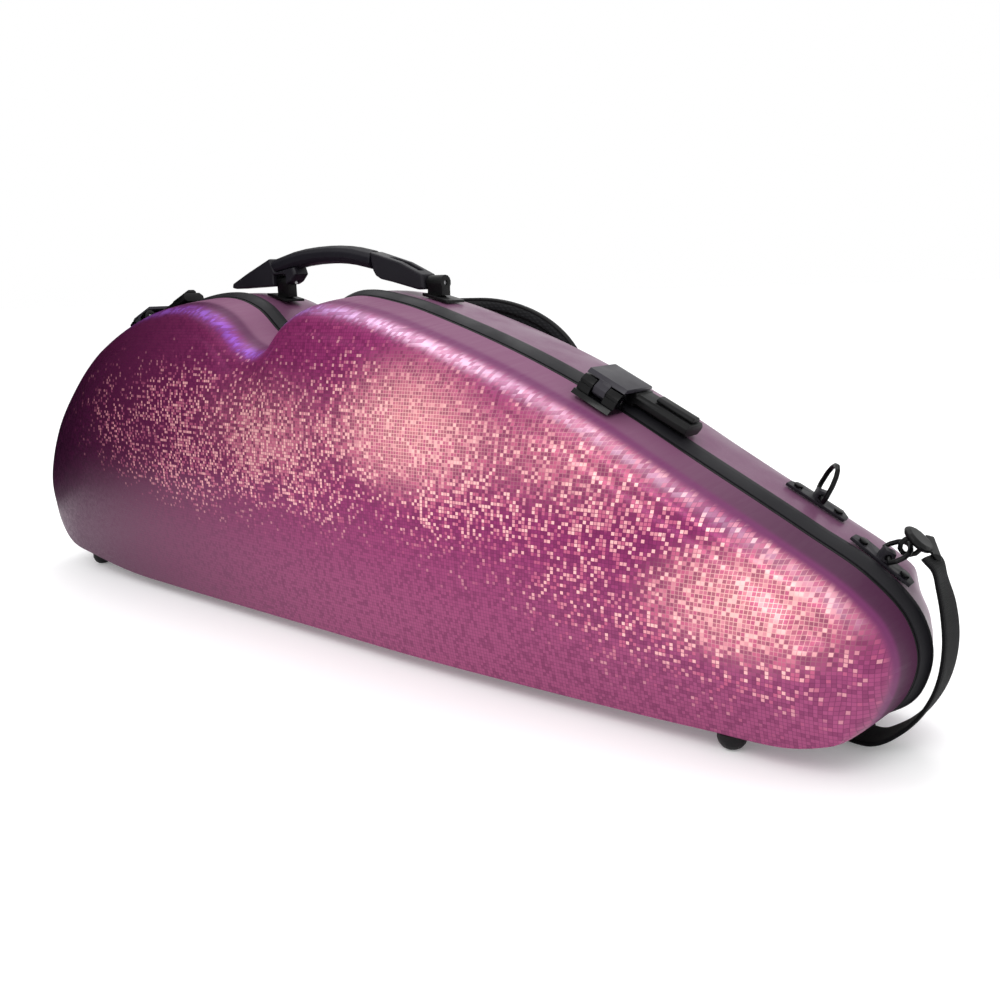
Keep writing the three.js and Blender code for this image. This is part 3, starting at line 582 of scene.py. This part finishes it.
def rounded(node: str, body: str, width: float, finish: Finish, segments: int = 3
            ) -> bpy.types.Object:
    """Rebuild a solid with rounded edges, in place of the node.

    Args:
        node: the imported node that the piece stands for.
        body: what it moves with.
        width: how far the rounding reaches, in millimetres.
        finish: what it is made of.
        segments: how many faces the rounding has across it.

    Returns:
        The new piece.
    """
    work = bmesh.new()
    work.from_mesh(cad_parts[node].data)
    bmesh.ops.remove_doubles(work, verts=work.verts, dist=2e-6)
    bmesh.ops.dissolve_limit(work, angle_limit=math.radians(1.5), verts=work.verts,
                             edges=work.edges)
    mesh = bpy.data.meshes.new(node + "_rounded")
    work.to_mesh(mesh)
    work.free()
    piece = bpy.data.objects.new(node + "_rounded", mesh)
    bpy.context.scene.collection.objects.link(piece)
    bevel = piece.modifiers.new("rounding", "BEVEL")
    bevel.width = width * MM
    bevel.segments = segments
    bevel.limit_method = "ANGLE"
    bevel.angle_limit = math.radians(28)
    bevel.harden_normals = False
    apply_modifiers(piece)
    piece.data.shade_smooth()
    piece.data.set_sharp_from_angle(angle=math.radians(35))
    dress(piece, finish)
    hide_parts(node)
    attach(piece, body)
    LOG.info("%s: rounded by %.1f mm on %s", piece.name, width, body)
    return piece


def melted(node: str, body: str, grain: float, passes: int, finish: Finish) -> bpy.types.Object:
    """Rebuild a solid as one flowing moulding, in place of the node.

    Args:
        node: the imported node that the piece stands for.
        body: what it moves with.
        grain: the size of the fine remesh, in millimetres.
        passes: how many times the surface is relaxed.
        finish: what it is made of.

    Returns:
        The new piece.
    """
    piece = bpy.data.objects.new(node + "_moulding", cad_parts[node].data.copy())
    bpy.context.scene.collection.objects.link(piece)
    remesh = piece.modifiers.new("remesh", "REMESH")
    remesh.mode = "VOXEL"
    remesh.voxel_size = grain * MM
    relax = piece.modifiers.new("relax", "SMOOTH")
    relax.factor = 0.5
    relax.iterations = passes
    thin = piece.modifiers.new("thin", "DECIMATE")
    thin.ratio = 0.35
    apply_modifiers(piece)
    piece.data.shade_smooth()
    dress(piece, finish)
    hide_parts(node)
    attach(piece, body)
    LOG.info("%s: %d faces on %s", piece.name, len(piece.data.polygons), body)
    return piece


def apply_modifiers(piece: bpy.types.Object) -> None:
    """Bake a piece's modifiers into its mesh."""
    graph = bpy.context.evaluated_depsgraph_get()
    baked = bpy.data.meshes.new_from_object(piece.evaluated_get(graph))
    piece.modifiers.clear()
    piece.data = baked


def between(a: np.ndarray, b: np.ndarray, low: float, high: float, t: float) -> np.ndarray:
    """Blend two points by where t lies from low to high."""
    return ((high - t) * a + (t - low) * b) / (high - low)


def through(points: np.ndarray, steps: int, closed: bool = False) -> np.ndarray:
    """Run a centripetal curve through points.

    Args:
        points: one row for each point, in any number of dimensions.
        steps: how many samples are taken on each stretch.
        closed: True if the last point runs on to the first.

    Returns:
        The sampled curve.
    """
    if closed:
        row = np.vstack([points[-1], points, points[:2]])
    else:
        row = np.vstack([2 * points[0] - points[1], points, 2 * points[-1] - points[-2]])
    samples = []
    for i in range(len(row) - 3):
        p = row[i:i + 4]
        chords = np.maximum(np.linalg.norm(np.diff(p, axis=0), axis=1), 1e-9)
        knots = np.concatenate([[0.0], np.cumsum(chords ** 0.5)])
        for t in np.linspace(knots[1], knots[2], steps, endpoint=False):
            a = [between(p[j], p[j + 1], knots[j], knots[j + 1], t) for j in range(3)]
            b = [between(a[j], a[j + 1], knots[j], knots[j + 2], t) for j in range(2)]
            samples.append(between(b[0], b[1], knots[1], knots[2], t))
    if not closed:
        samples.append(points[-1])
    return np.array(samples)


def smoothstep(value: np.ndarray | float, low: float, high: float) -> np.ndarray:
    """Ease from 0 at low to 1 at high."""
    t = np.clip((np.asarray(value, float) - low) / (high - low), 0.0, 1.0)
    return t * t * (3 - 2 * t)


# ---------------------------------------------------------------- the case's surfaces


class Half(Enum):
    """Which side of the seam a shell is on."""

    LID = -1
    BASE = 1


@dataclass
class CaseForm:
    """The outline at the seam and the rules that draw the shells in from it, in millimetres."""

    outline: tuple[tuple[float, float], ...] = (
        (383, 55), (377, 76), (358, 94), (325, 112), (268, 141), (213, 169), (155, 194), (95, 215),
        (45, 229), (2, 234), (-24, 226), (-46, 209), (-62, 203), (-79, 208), (-104, 226),
        (-136, 235), (-190, 231), (-250, 212), (-308, 180), (-355, 136), (-379, 95), (-386, 66),
        (-378, 41), (-352, 24), (-300, 14.5), (-240, 8.6), (-180, 7.6), (0, 7.6), (150, 8),
        (290, 10), (343, 13.5), (373, 29),
    )
    steps: int = 10
    core_start: float = -270.0
    core_end: float = 335.0
    core_high: float = 110.0
    core_low: float = 61.0
    nose_cut: float = 0.22
    spine_share: float = 0.08
    rake_slope: float = 0.2
    rake_deepest: float = 40.0
    lid_edge: float = 2.5
    base_edge: float = 10.3
    lid_levels: tuple[Point, ...] = (
        (0, 0, 2.5), (3, 0, 26), (6.5, 0, 38), (13, 0, 46.5), (24, 0, 51.5), (24, 0.3, 57),
        (24, 0.65, 60.8), (24, 0.93, 62),
    )
    base_levels: tuple[Point, ...] = (
        (-3, 0, 10.3), (-2, 0, 46), (2.5, 0, 64), (12, 0, 75.5), (27, 0, 80.5), (27, 0.45, 82.5),
        (27, 0.93, 83),
    )
    stations: np.ndarray = field(init=False)
    centres: np.ndarray = field(init=False)

    def __post_init__(self) -> None:
        """Sample the outline and find the point on the core that each sample closes in on."""
        self.stations = through(np.array(self.outline, float), self.steps, closed=True)
        x = self.stations[:, 0]
        drop = (self.core_high - self.core_low) * smoothstep(x, 20, self.core_end)
        core_x = np.clip(x, self.core_start, self.core_end)
        self.centres = np.stack([core_x, self.core_high - drop], axis=1)

    def ring(self, inset: float, share: float, depth: float, half: Half, wall: float = 0.0
             ) -> np.ndarray:
        """Draw the outline in towards the core and set it back from the seam.

        Args:
            inset: how far in the wall leans, in full round the top and little along the spine.
            share: how much of the way left to the core is gone.
            depth: how far from the seam the ring lies, before the nose thins the case.
            half: which shell it is on.
            wall: a thickness that stays the same all round.

        Returns:
            One row for each station: x, y and z in metres in the frame.
        """
        edge = self.lid_edge if half is Half.LID else self.base_edge
        ray = self.stations - self.centres
        radius = np.linalg.norm(ray, axis=1)
        down = -ray[:, 1] / radius
        square = 1 - (1 - self.spine_share) * smoothstep(down, 0.45, 0.85)
        raked = min(max(depth - edge, 0.0), self.rake_deepest) if half is Half.BASE else 0.0
        rake = self.rake_slope * smoothstep(ray[:, 0] / radius, 0.7, 0.97) * raked
        start = inset * square + rake + wall
        travel = start + share * (radius - start)
        flat = self.stations - ray * (travel / radius)[:, None]
        taper = 1 - self.nose_cut * smoothstep(flat[:, 0], 60, 385)
        y = half.value * (edge + (depth - edge) * taper)
        return np.stack([ORIGIN.x + flat[:, 0] * MM, ORIGIN.y + y * MM, flat[:, 1] * MM], axis=1)

    def upward(self) -> np.ndarray:
        """Say how far each station of the outline faces up, from 0 to 1."""
        ray = self.stations - self.centres
        return smoothstep(ray[:, 1] / np.linalg.norm(ray, axis=1), 0.25, 0.8)

    def rim(self, inset: float, y: float) -> np.ndarray:
        """Draw a ring of a rim at a fixed place across the seam."""
        level = (inset, 0.0) if inset < 0 else (0.0, inset)
        points = self.ring(level[0], 0.0, 0.0, Half.BASE, level[1])
        points[:, 1] = ORIGIN.y + y * MM
        return points


@dataclass
class Shells:
    """The lid, the base and the two rims that meet at the seam."""

    form: CaseForm
    wall: float = 3.2
    fine: int = 5
    face_from: float = 1.6
    face_to: float = 6.4
    # Where the painted highlight runs along the upper shoulder, and how wide it is.
    crest_at: float = 7.4
    crest_wide: float = 2.6
    band_section: tuple[tuple[float, float], ...] = (
        (0.2, 0.3), (-0.7, 0.4), (-2.2, 2.4), (-3.7, 5.6), (-4.0, 6.6), (-4.0, 9.5), (-3.6, 10.0),
        (4.2, 10.0), (4.2, 0.3),
    )
    seal_section: tuple[tuple[float, float], ...] = (
        (0.1, -2.2), (-0.2, -1.9), (-0.2, -0.6), (0.1, -0.3), (4.2, -0.3), (4.2, -2.2),
    )

    def shell(self, name: str, levels: tuple[Point, ...], half: Half
              ) -> bpy.types.Object:
        """Loft one shell with its inner skin, mark where its face begins and mark the band on its
        upper shoulder where a highlight is painted.

        Args:
            name: the piece's name.
            levels: inset, share and depth of each level from the seam to the face.
            half: which shell it is.

        Returns:
            The new piece.
        """
        table = through(np.array(levels, float), self.fine)
        table[:, 1] = np.maximum(table[:, 1], 0.0)
        last = levels[-1]
        table = np.vstack([table, [last[0], 0.999, last[2]]])
        outer = [self.form.ring(*row, half) for row in table]
        edge = levels[0][2]
        inner_rows = [(row[0], row[1], edge if i == 0 else row[2] - self.wall)
                      for i, row in enumerate(levels)] + [(last[0], 0.999, last[2] - self.wall)]
        inner = [self.form.ring(*row, half, self.wall) for row in inner_rows]
        rings = outer[::-1] + inner
        count = len(rings[0])
        piece = mesh_piece(name, np.vstack(rings), loft_faces(len(rings), count), 50.0)
        marks = []
        for row in table[::-1]:
            marks.extend([float(smoothstep(row[0], self.face_from, self.face_to))] * count)
        marks.extend([0.0] * (len(inner) * count))
        attribute = piece.data.attributes.new("face", "FLOAT", "POINT")
        attribute.data.foreach_set("value", marks)
        # Mark the upper shoulder band that the mosaic paints a highlight along.
        painted_crest_highlights = []
        for row in table[::-1]:
            near = math.exp(-((row[0] - self.crest_at) / self.crest_wide) ** 2) * (row[1] < 0.02)
            painted_crest_highlights.extend(list(near * self.form.upward()))
        painted_crest_highlights.extend([0.0] * (len(inner) * count))
        attribute = piece.data.attributes.new("painted_crest_highlight", "FLOAT", "POINT")
        attribute.data.foreach_set("value", painted_crest_highlights)
        return piece

    def band(self, name: str, section: tuple[tuple[float, float], ...]) -> bpy.types.Object:
        """Loft a rim round the seam from its section."""
        rings = [self.form.rim(inset, y) for inset, y in section]
        faces = loft_faces(len(rings), len(rings[0]), loop=True)
        return mesh_piece(name, np.vstack(rings), faces, 30.0)

    def build(self) -> None:
        """Build and dress the two shells and the two rims."""
        lid = self.shell("lid_skin", self.form.lid_levels, Half.LID)
        base = self.shell("base_skin", self.form.base_levels, Half.BASE)
        band = self.band("rim_band", self.band_section)
        seal = self.band("rim_seal", self.seal_section)
        parts = (
            (lid, "lid_shell", "lid", Finish.MOSAIC, "mosaic"),
            (base, "base_shell", "base", Finish.SHELL, "shell"),
            (band, "base_rim_band", "base", Finish.BAND, "band"),
            (seal, "lid_rim_seal", "lid", Finish.SEAL, "rubber"),
        )
        for piece, node, body, finish, slot in parts:
            dress(piece, finish)
            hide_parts(node)
            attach(piece, body)
            LOG.info("%s: %d faces on %s", piece.name, len(piece.data.polygons), body)


# ---------------------------------------------------------------- hardware


@dataclass
class Latches:
    """The two catches on the top edge, each with a bracket, a flap, a catch bar and a slide."""

    places: tuple[str, ...] = ("bout", "nose")
    rounding: float = 0.7

    def build(self) -> None:
        """Round and dress every piece of both latches."""
        for where in self.places:
            rounded(f"latch_bracket_{where}", "lid", self.rounding, Finish.GLOSS)
            rounded(f"latch_flap_{where}", f"latch_flap_{where}", 0.5, Finish.SATIN)
            rounded(f"latch_catch_{where}", "base", 0.8, Finish.HARDWARE)
            rounded(f"latch_slide_{where}", f"latch_slide_{where}", 0.5, Finish.HARDWARE)
            dress(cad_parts[f"latch_pin_{where}"], Finish.STEEL)


@dataclass
class Handle:
    """The folding handle: two hard end caps, a soft grip between them, and its mounts."""

    grain: float = 0.55
    passes: int = 7

    def build(self) -> None:
        """Build the caps and the grip as flowing mouldings and round the mounts."""
        melted("handle_cap_bout", "handle", self.grain, self.passes, Finish.HANDLE)
        melted("handle_cap_nose", "handle", self.grain, self.passes, Finish.HANDLE)
        melted("handle_grip", "handle", self.grain, self.passes, Finish.GRIP)
        for where in ("bout", "nose"):
            rounded(f"handle_mount_{where}", "base", 0.7, Finish.HARDWARE)
            dress(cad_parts[f"handle_pin_{where}"], Finish.STEEL)


@dataclass
class Rings:
    """The three strap rings with their plates, screws and snap hooks."""

    places: tuple[str, ...] = ("upper", "nose", "bout")

    def build(self) -> None:
        """Round the plates and screws and build rings and hooks as smooth castings."""
        for where in self.places:
            rounded(f"ring_plate_{where}", "base", 0.4, Finish.HANDLE)
            melted(f"d_ring_{where}", f"d_ring_{where}", 0.35, 6, Finish.BLACKED)
            for i in (1, 2):
                rounded(f"ring_screw_{where}_{i}", "base", 0.35, Finish.BLACKED, 2)
        for where in ("nose", "bout"):
            melted(f"strap_hook_{where}", "base", 0.4, 5, Finish.HARDWARE)


@dataclass
class FeetAndHinges:
    """The rubber feet under the spine and the two spine hinges."""

    places: tuple[str, ...] = ("bout", "nose")

    def build(self) -> None:
        """Round the feet and dress the hinges."""
        for where in self.places:
            for half in ("lid", "base"):
                melted(f"foot_{half}_{where}", half, 0.5, 6, Finish.RUBBER)
                rounded(f"hinge_{half}_leaf_{where}", half, 0.25, Finish.BLACKED, 2)
            dress(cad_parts[f"hinge_pin_{where}"], Finish.STEEL)


@dataclass
class Interior:
    """What is inside: the linings, the neck rest and the bow fittings."""

    def build(self) -> None:
        """Dress the linings and round the fittings."""
        rounded("base_lining", "base", 2.4, Finish.PLUSH)
        rounded("lid_lining", "lid", 1.2, Finish.PLUSH, 2)
        rounded("neck_cradle", "base", 1.6, Finish.PLUSH)
        rounded("neck_strap", "base", 0.6, Finish.PAD, 2)
        rounded("bow_tip_pocket", "lid", 0.5, Finish.PLUSH, 2)
        for i in (1, 2):
            rounded(f"bow_spinner_post_{i}", "lid", 0.3, Finish.HARDWARE, 2)
            rounded(f"bow_spinner_{i}", f"bow_spinner_{i}", 0.8, Finish.HARDWARE)


# ---------------------------------------------------------------- strap


@dataclass
class Strap:
    """The shoulder strap: two runs of webbing between the hooks and a stuffed pad."""

    width: float = 25.0
    thickness: float = 2.4
    section_points: int = 20
    nose_route: tuple[tuple[Point, Point], ...] = (
        ((379.4, 19, 103.4), (-0.12, 1, 0)), ((383.6, 18.6, 99), (-0.12, 1, 0)),
        ((386, 18.2, 92), (-0.12, 1, 0)),
        ((390, 17, 80), (-0.04, 1, 0)), ((392.6, 16, 63), (0, 1, 0)), ((391, 16, 45), (0, 1, 0)),
        ((385.4, 16.5, 29.4), (0, 1, 0)), ((375.4, 17, 15), (0, 1, 0)),
        ((362, 17.5, 4.6), (0, 1, 0)), ((348, 22, 2), (0.3, 0.95, 0)),
        ((339, 37, 1.8), (0.85, 0.5, 0)), ((335, 58, 2.2), (1, 0.1, 0)),
        ((331, 76, 5), (1, 0, 0.1)), ((320, 91, 20), (0.9, 0, 0.4)),
        ((286, 98, 52), (0.72, 0, 0.7)),
        ((245, 100, 88), (0.68, 0, 0.73)), ((200, 100, 128), (0.64, 0, 0.76)),
        ((160, 99.8, 156), (0.5, 0, 0.86)), ((120, 99.8, 174), (0.34, 0, 0.94)),
        ((82, 99.8, 186), (0.3, 0, 0.95)),
    )
    bout_route: tuple[tuple[Point, Point], ...] = (
        ((-373.5, 19, 168), (0, 1, 0.1)), ((-376.5, 26, 174), (0.3, 0.8, 0.4)),
        ((-372, 42, 180), (0.75, 0.3, 0.6)), ((-362, 66, 190), (0.6, 0.1, 0.8)),
        ((-334, 87, 198), (0.1, 0.1, 1)), ((-290, 97, 201), (0, 0, 1)),
        ((-240, 99.8, 201), (0, 0, 1)),
        ((-190, 99.8, 200), (0, 0, 1)), ((-150, 99.8, 199), (0, 0, 1)),
    )
    pad_left: float = -190.0
    pad_right: float = 127.0
    pad_low: float = 170.0
    pad_high: float = 228.0
    pad_end: float = 95.0
    pad_y: float = 92.0
    pad_half: float = 6.0
    channels: tuple[float, ...] = (7.0, 20.0)

    def section(self) -> list[Point]:
        """List the web's section: across, through and the share of the width, with rolled edges."""
        points = []
        for k in range(self.section_points):
            angle = 2 * math.pi * k / self.section_points
            c, s = math.cos(angle), math.sin(angle)
            across = math.copysign(abs(c) ** 0.35, c) * self.width / 2
            channel = 1 - 0.28 * math.exp(-(across / 3.2) ** 2)
            through_web = math.copysign(abs(s) ** 0.5, s) * self.thickness / 2 * channel
            points.append((across, through_web, 0.5 + across / self.width))
        return points

    def web(self, name: str, route: tuple, node: str) -> None:
        """Sweep the web along a route, in place of a node.

        Args:
            name: the piece's name.
            route: each place, and the direction across the web there.
            node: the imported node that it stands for.
        """
        rows = [[*c, *(np.array(a) / np.linalg.norm(a) * 30)] for c, a in route]
        stations = through(np.array(rows), 8)
        centres = stations[:, :3]
        tangents = np.gradient(centres, axis=0)
        tangents /= np.linalg.norm(tangents, axis=1)[:, None]
        run = np.concatenate([[0], np.cumsum(np.linalg.norm(np.diff(centres, axis=0), axis=1))])
        section = self.section()
        points = []
        for centre, along, across in zip(centres, tangents, stations[:, 3:]):
            across = across - along * np.dot(across, along)
            across /= np.linalg.norm(across)
            out = np.cross(along, across)
            for a, b, _ in section:
                points.append(np.array(ORIGIN) + (centre + across * a + out * b) * MM)
        count = len(section)
        piece = mesh_piece(name, np.array(points), loft_faces(len(centres), count), 50.0)
        layer = piece.data.uv_layers.new(name="web")
        for loop in piece.data.loops:
            ring, k = divmod(loop.vertex_index, count)
            layer.data[loop.index].uv = (run[ring] * MM, section[k][2])
        dress(piece, Finish.WEB)
        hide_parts(node)
        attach(piece, "base")
        LOG.info("%s: %.0f mm of web", name, run[-1])

    def pad_outline(self, shrink: float, count: int = 26) -> np.ndarray:
        """Trace the pad's edge, drawn in by a distance.

        Args:
            shrink: how far in from the edge, in millimetres.
            count: how many points each rounded end has.

        Returns:
            One row for each point: x and z.
        """
        low, high = self.pad_low + shrink, self.pad_high - shrink
        left, right = self.pad_left + shrink, self.pad_right - shrink
        end = max(self.pad_end - shrink, 4.0)
        rise = max(high - low, 1.0)
        arc = np.linspace(0, math.pi / 2, count)
        right_arc = np.stack([right - end + end * np.cos(arc), low + rise * np.sin(arc)], axis=1)
        back = arc[::-1]
        left_arc = np.stack([left + end - end * np.cos(back), low + rise * np.sin(back)], axis=1)
        top = np.linspace(right_arc[-1], left_arc[0], 30)[1:-1]
        bottom = np.linspace(left_arc[-1], right_arc[0], 40)[1:-1]
        return np.vstack([right_arc, top, left_arc, bottom])

    def pad(self) -> None:
        """Build the stuffed pad: crowned faces, sewn channels and a piped edge."""
        distances = np.linspace(0, 27, 28)

        def face(side: float) -> list[np.ndarray]:
            """Make one face's rings from the edge to the middle.

            Args:
                side: -1 for the near face, 1 for the far one.

            Returns:
                The rings.
            """
            made = []
            for d in distances:
                flat = self.pad_outline(float(d))
                crown = min(1.0, (d / 5.0)) ** 0.5
                groove = sum(math.exp(-((d - c) / 1.1) ** 2) for c in self.channels)
                y = self.pad_y + side * self.pad_half * (0.25 + 0.75 * crown) * (1 - 0.42 * groove)
                points = np.stack([flat[:, 0], np.full(len(flat), y), flat[:, 1]], axis=1)
                made.append(points)
            return made
        rings = face(-1)[::-1] + face(1)
        count = len(rings[0])
        points = np.array(ORIGIN) + np.vstack(rings) * MM
        pad = mesh_piece("stuffed_pad", points, loft_faces(len(rings), count), 60.0)
        dress(pad, Finish.PAD)
        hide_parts("strap_pad")
        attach(pad, "base")
        piping = self.tube("pad_piping", self.pad_outline(-0.2), 2.0)
        dress(piping, Finish.SEAL)
        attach(piping, "base")
        LOG.info("stuffed_pad: %d faces", len(pad.data.polygons))

    def tube(self, name: str, path: np.ndarray, radius: float) -> bpy.types.Object:
        """Run a round cord along the pad's edge.

        Args:
            name: the piece's name.
            path: where it runs, seen from the side.
            radius: its radius.

        Returns:
            The cord.
        """
        centres = np.stack([path[:, 0], np.full(len(path), self.pad_y), path[:, 1]], axis=1)
        along = np.roll(centres, -1, axis=0) - np.roll(centres, 1, axis=0)
        along /= np.linalg.norm(along, axis=1)[:, None]
        side = np.array([0.0, 1.0, 0.0])
        out = np.cross(along, side)
        points = []
        for k in range(len(centres)):
            for a in np.linspace(0, 2 * math.pi, 10, endpoint=False):
                points.append(centres[k] + radius * (math.cos(a) * side + math.sin(a) * out[k]))
        return mesh_piece(name, np.array(ORIGIN) + np.array(points) * MM,
                          loft_faces(len(centres), 10, loop=True), 60.0)

    def build(self) -> None:
        """Build both webs and the pad."""
        self.web("web_to_nose", self.nose_route, "strap_webbing_nose")
        self.web("web_to_bout", self.bout_route, "strap_webbing_bout")
        self.pad()


# ---------------------------------------------------------------- studio


@dataclass
class Studio:
    """The floor, the lights and the camera."""

    eye: Point = (515.64, -465.91, 236.13)
    heading: float = 40.0
    pitch: float = 12.13
    roll: float = -1.72
    lens: float = 35.39
    sensor: float = 36.0
    card: tuple[float, float, float, float] = (-0.62, -0.75, 0.3, 0.62)
    floor_side: float = 40.0
    floor_drop: float = 0.0004
    floor_glow: float = 0.16
    key_power: float = 15
    top_power: float = 10
    sky: float = 1.0

    def camera(self) -> None:
        """Place the camera."""
        a, p, t = (math.radians(v) for v in (self.heading, self.pitch, self.roll))
        forward = Vector((-math.sin(a) * math.cos(p), math.cos(a) * math.cos(p), -math.sin(p)))
        right = Vector((math.cos(a), math.sin(a), 0.0))
        up = right.cross(forward)
        turned_right = right * math.cos(t) + up * math.sin(t)
        turned_up = up * math.cos(t) - right * math.sin(t)
        data = bpy.data.cameras.new("view")
        data.lens = self.lens
        data.sensor_width = self.sensor
        camera = bpy.data.objects.new("view", data)
        axes = Matrix((turned_right, turned_up, -forward)).transposed()
        camera.matrix_world = Matrix.Translation(at(*self.eye)) @ axes.to_4x4()
        bpy.context.scene.collection.objects.link(camera)
        bpy.context.scene.camera = camera

    def light(self, name: str, place: Point, aim: Point,
              size: tuple[float, float], power: float, colour: Point = (1, 1, 1)
              ) -> None:
        """Hang one soft rectangular light.

        Args:
            name: what it is called.
            place: where it hangs, in metres.
            aim: what it points at, in metres.
            size: its width and height, in metres.
            power: its power in watts.
            colour: its colour.
        """
        data = bpy.data.lights.new(name, "AREA")
        data.shape = "RECTANGLE"
        data.size, data.size_y = size
        data.energy = power
        data.color = colour
        lamp = bpy.data.objects.new(name, data)
        lamp.location = place
        lamp.rotation_euler = (Vector(aim) - Vector(place)).to_track_quat("-Z", "Y").to_euler()
        bpy.context.scene.collection.objects.link(lamp)

    def flag(self) -> None:
        """Stand a black card beyond the wide bout, out of shot, to keep that end deep in tone."""
        x, near, far, top = self.card
        corners = [[x, near, 0.0], [x, far, 0.0], [x + 0.1, far, top], [x + 0.1, near, top]]
        card = mesh_piece("black_card", np.array(corners), [(0, 1, 2, 3)])
        sketch = Sketch("black velvet card")
        tone = sketch.blend(sketch.noise(200.0), (0.002, 0.002, 0.002, 1), (0.006, 0.006, 0.006, 1))
        sketch.feed(Base_Color=tone, Roughness=1.0, Specular_IOR_Level=0.0)
        card.data.materials.append(sketch.material)
        card.visible_camera = False
        card.visible_diffuse = False
        card.visible_shadow = False

    def floor(self) -> None:
        """Lay the pale floor, just under the feet."""
        side, low = self.floor_side, -self.floor_drop
        corners = [[-side, -side, low], [side, -side, low], [side, side, low], [-side, side, low]]
        floor = mesh_piece("floor", np.array(corners), [(0, 1, 2, 3)])
        sketch = Sketch("pale floor")
        share = sketch.ramp(sketch.noise(3.0), 0.3, 0.7)
        tone = sketch.blend(share, (0.90, 0.90, 0.91, 1), (0.93, 0.93, 0.93, 1))
        sketch.feed(Base_Color=tone, Roughness=0.9, Emission_Color=(1.0, 1.0, 1.0, 1.0),
                    Emission_Strength=self.floor_glow)
        floor.data.materials.append(sketch.material)

    def build(self) -> None:
        """Build the floor, the lights and the camera."""
        self.camera()
        self.floor()
        self.flag()
        world = bpy.data.worlds.new("studio")
        bpy.context.scene.world = world
        world.use_nodes = True
        back = world.node_tree.nodes["Background"]
        back.inputs["Color"].default_value = (1.0, 1.0, 1.0, 1.0)
        back.inputs["Strength"].default_value = self.sky
        self.light("key", (0.5, -1.5, 1.6), (0.0, 0.0, 0.1), (1.2, 0.8), self.key_power)
        self.light("top", (-0.2, 0.5, 1.7), (0.0, 0.0, 0.1), (1.6, 0.8), self.top_power)
        bpy.context.scene.view_settings.view_transform = "Standard"


def main() -> None:
    """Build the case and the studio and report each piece."""
    logging.basicConfig(level=logging.INFO, format="%(name)s %(message)s")
    Studio().build()
    form = CaseForm()
    for group in (Shells(form), Latches(), Handle(), Rings(), FeetAndHinges(), Interior(), Strap()):
        group.build()
        LOG.info("%s done", type(group).__name__)


if __name__ == "__main__":
    main()
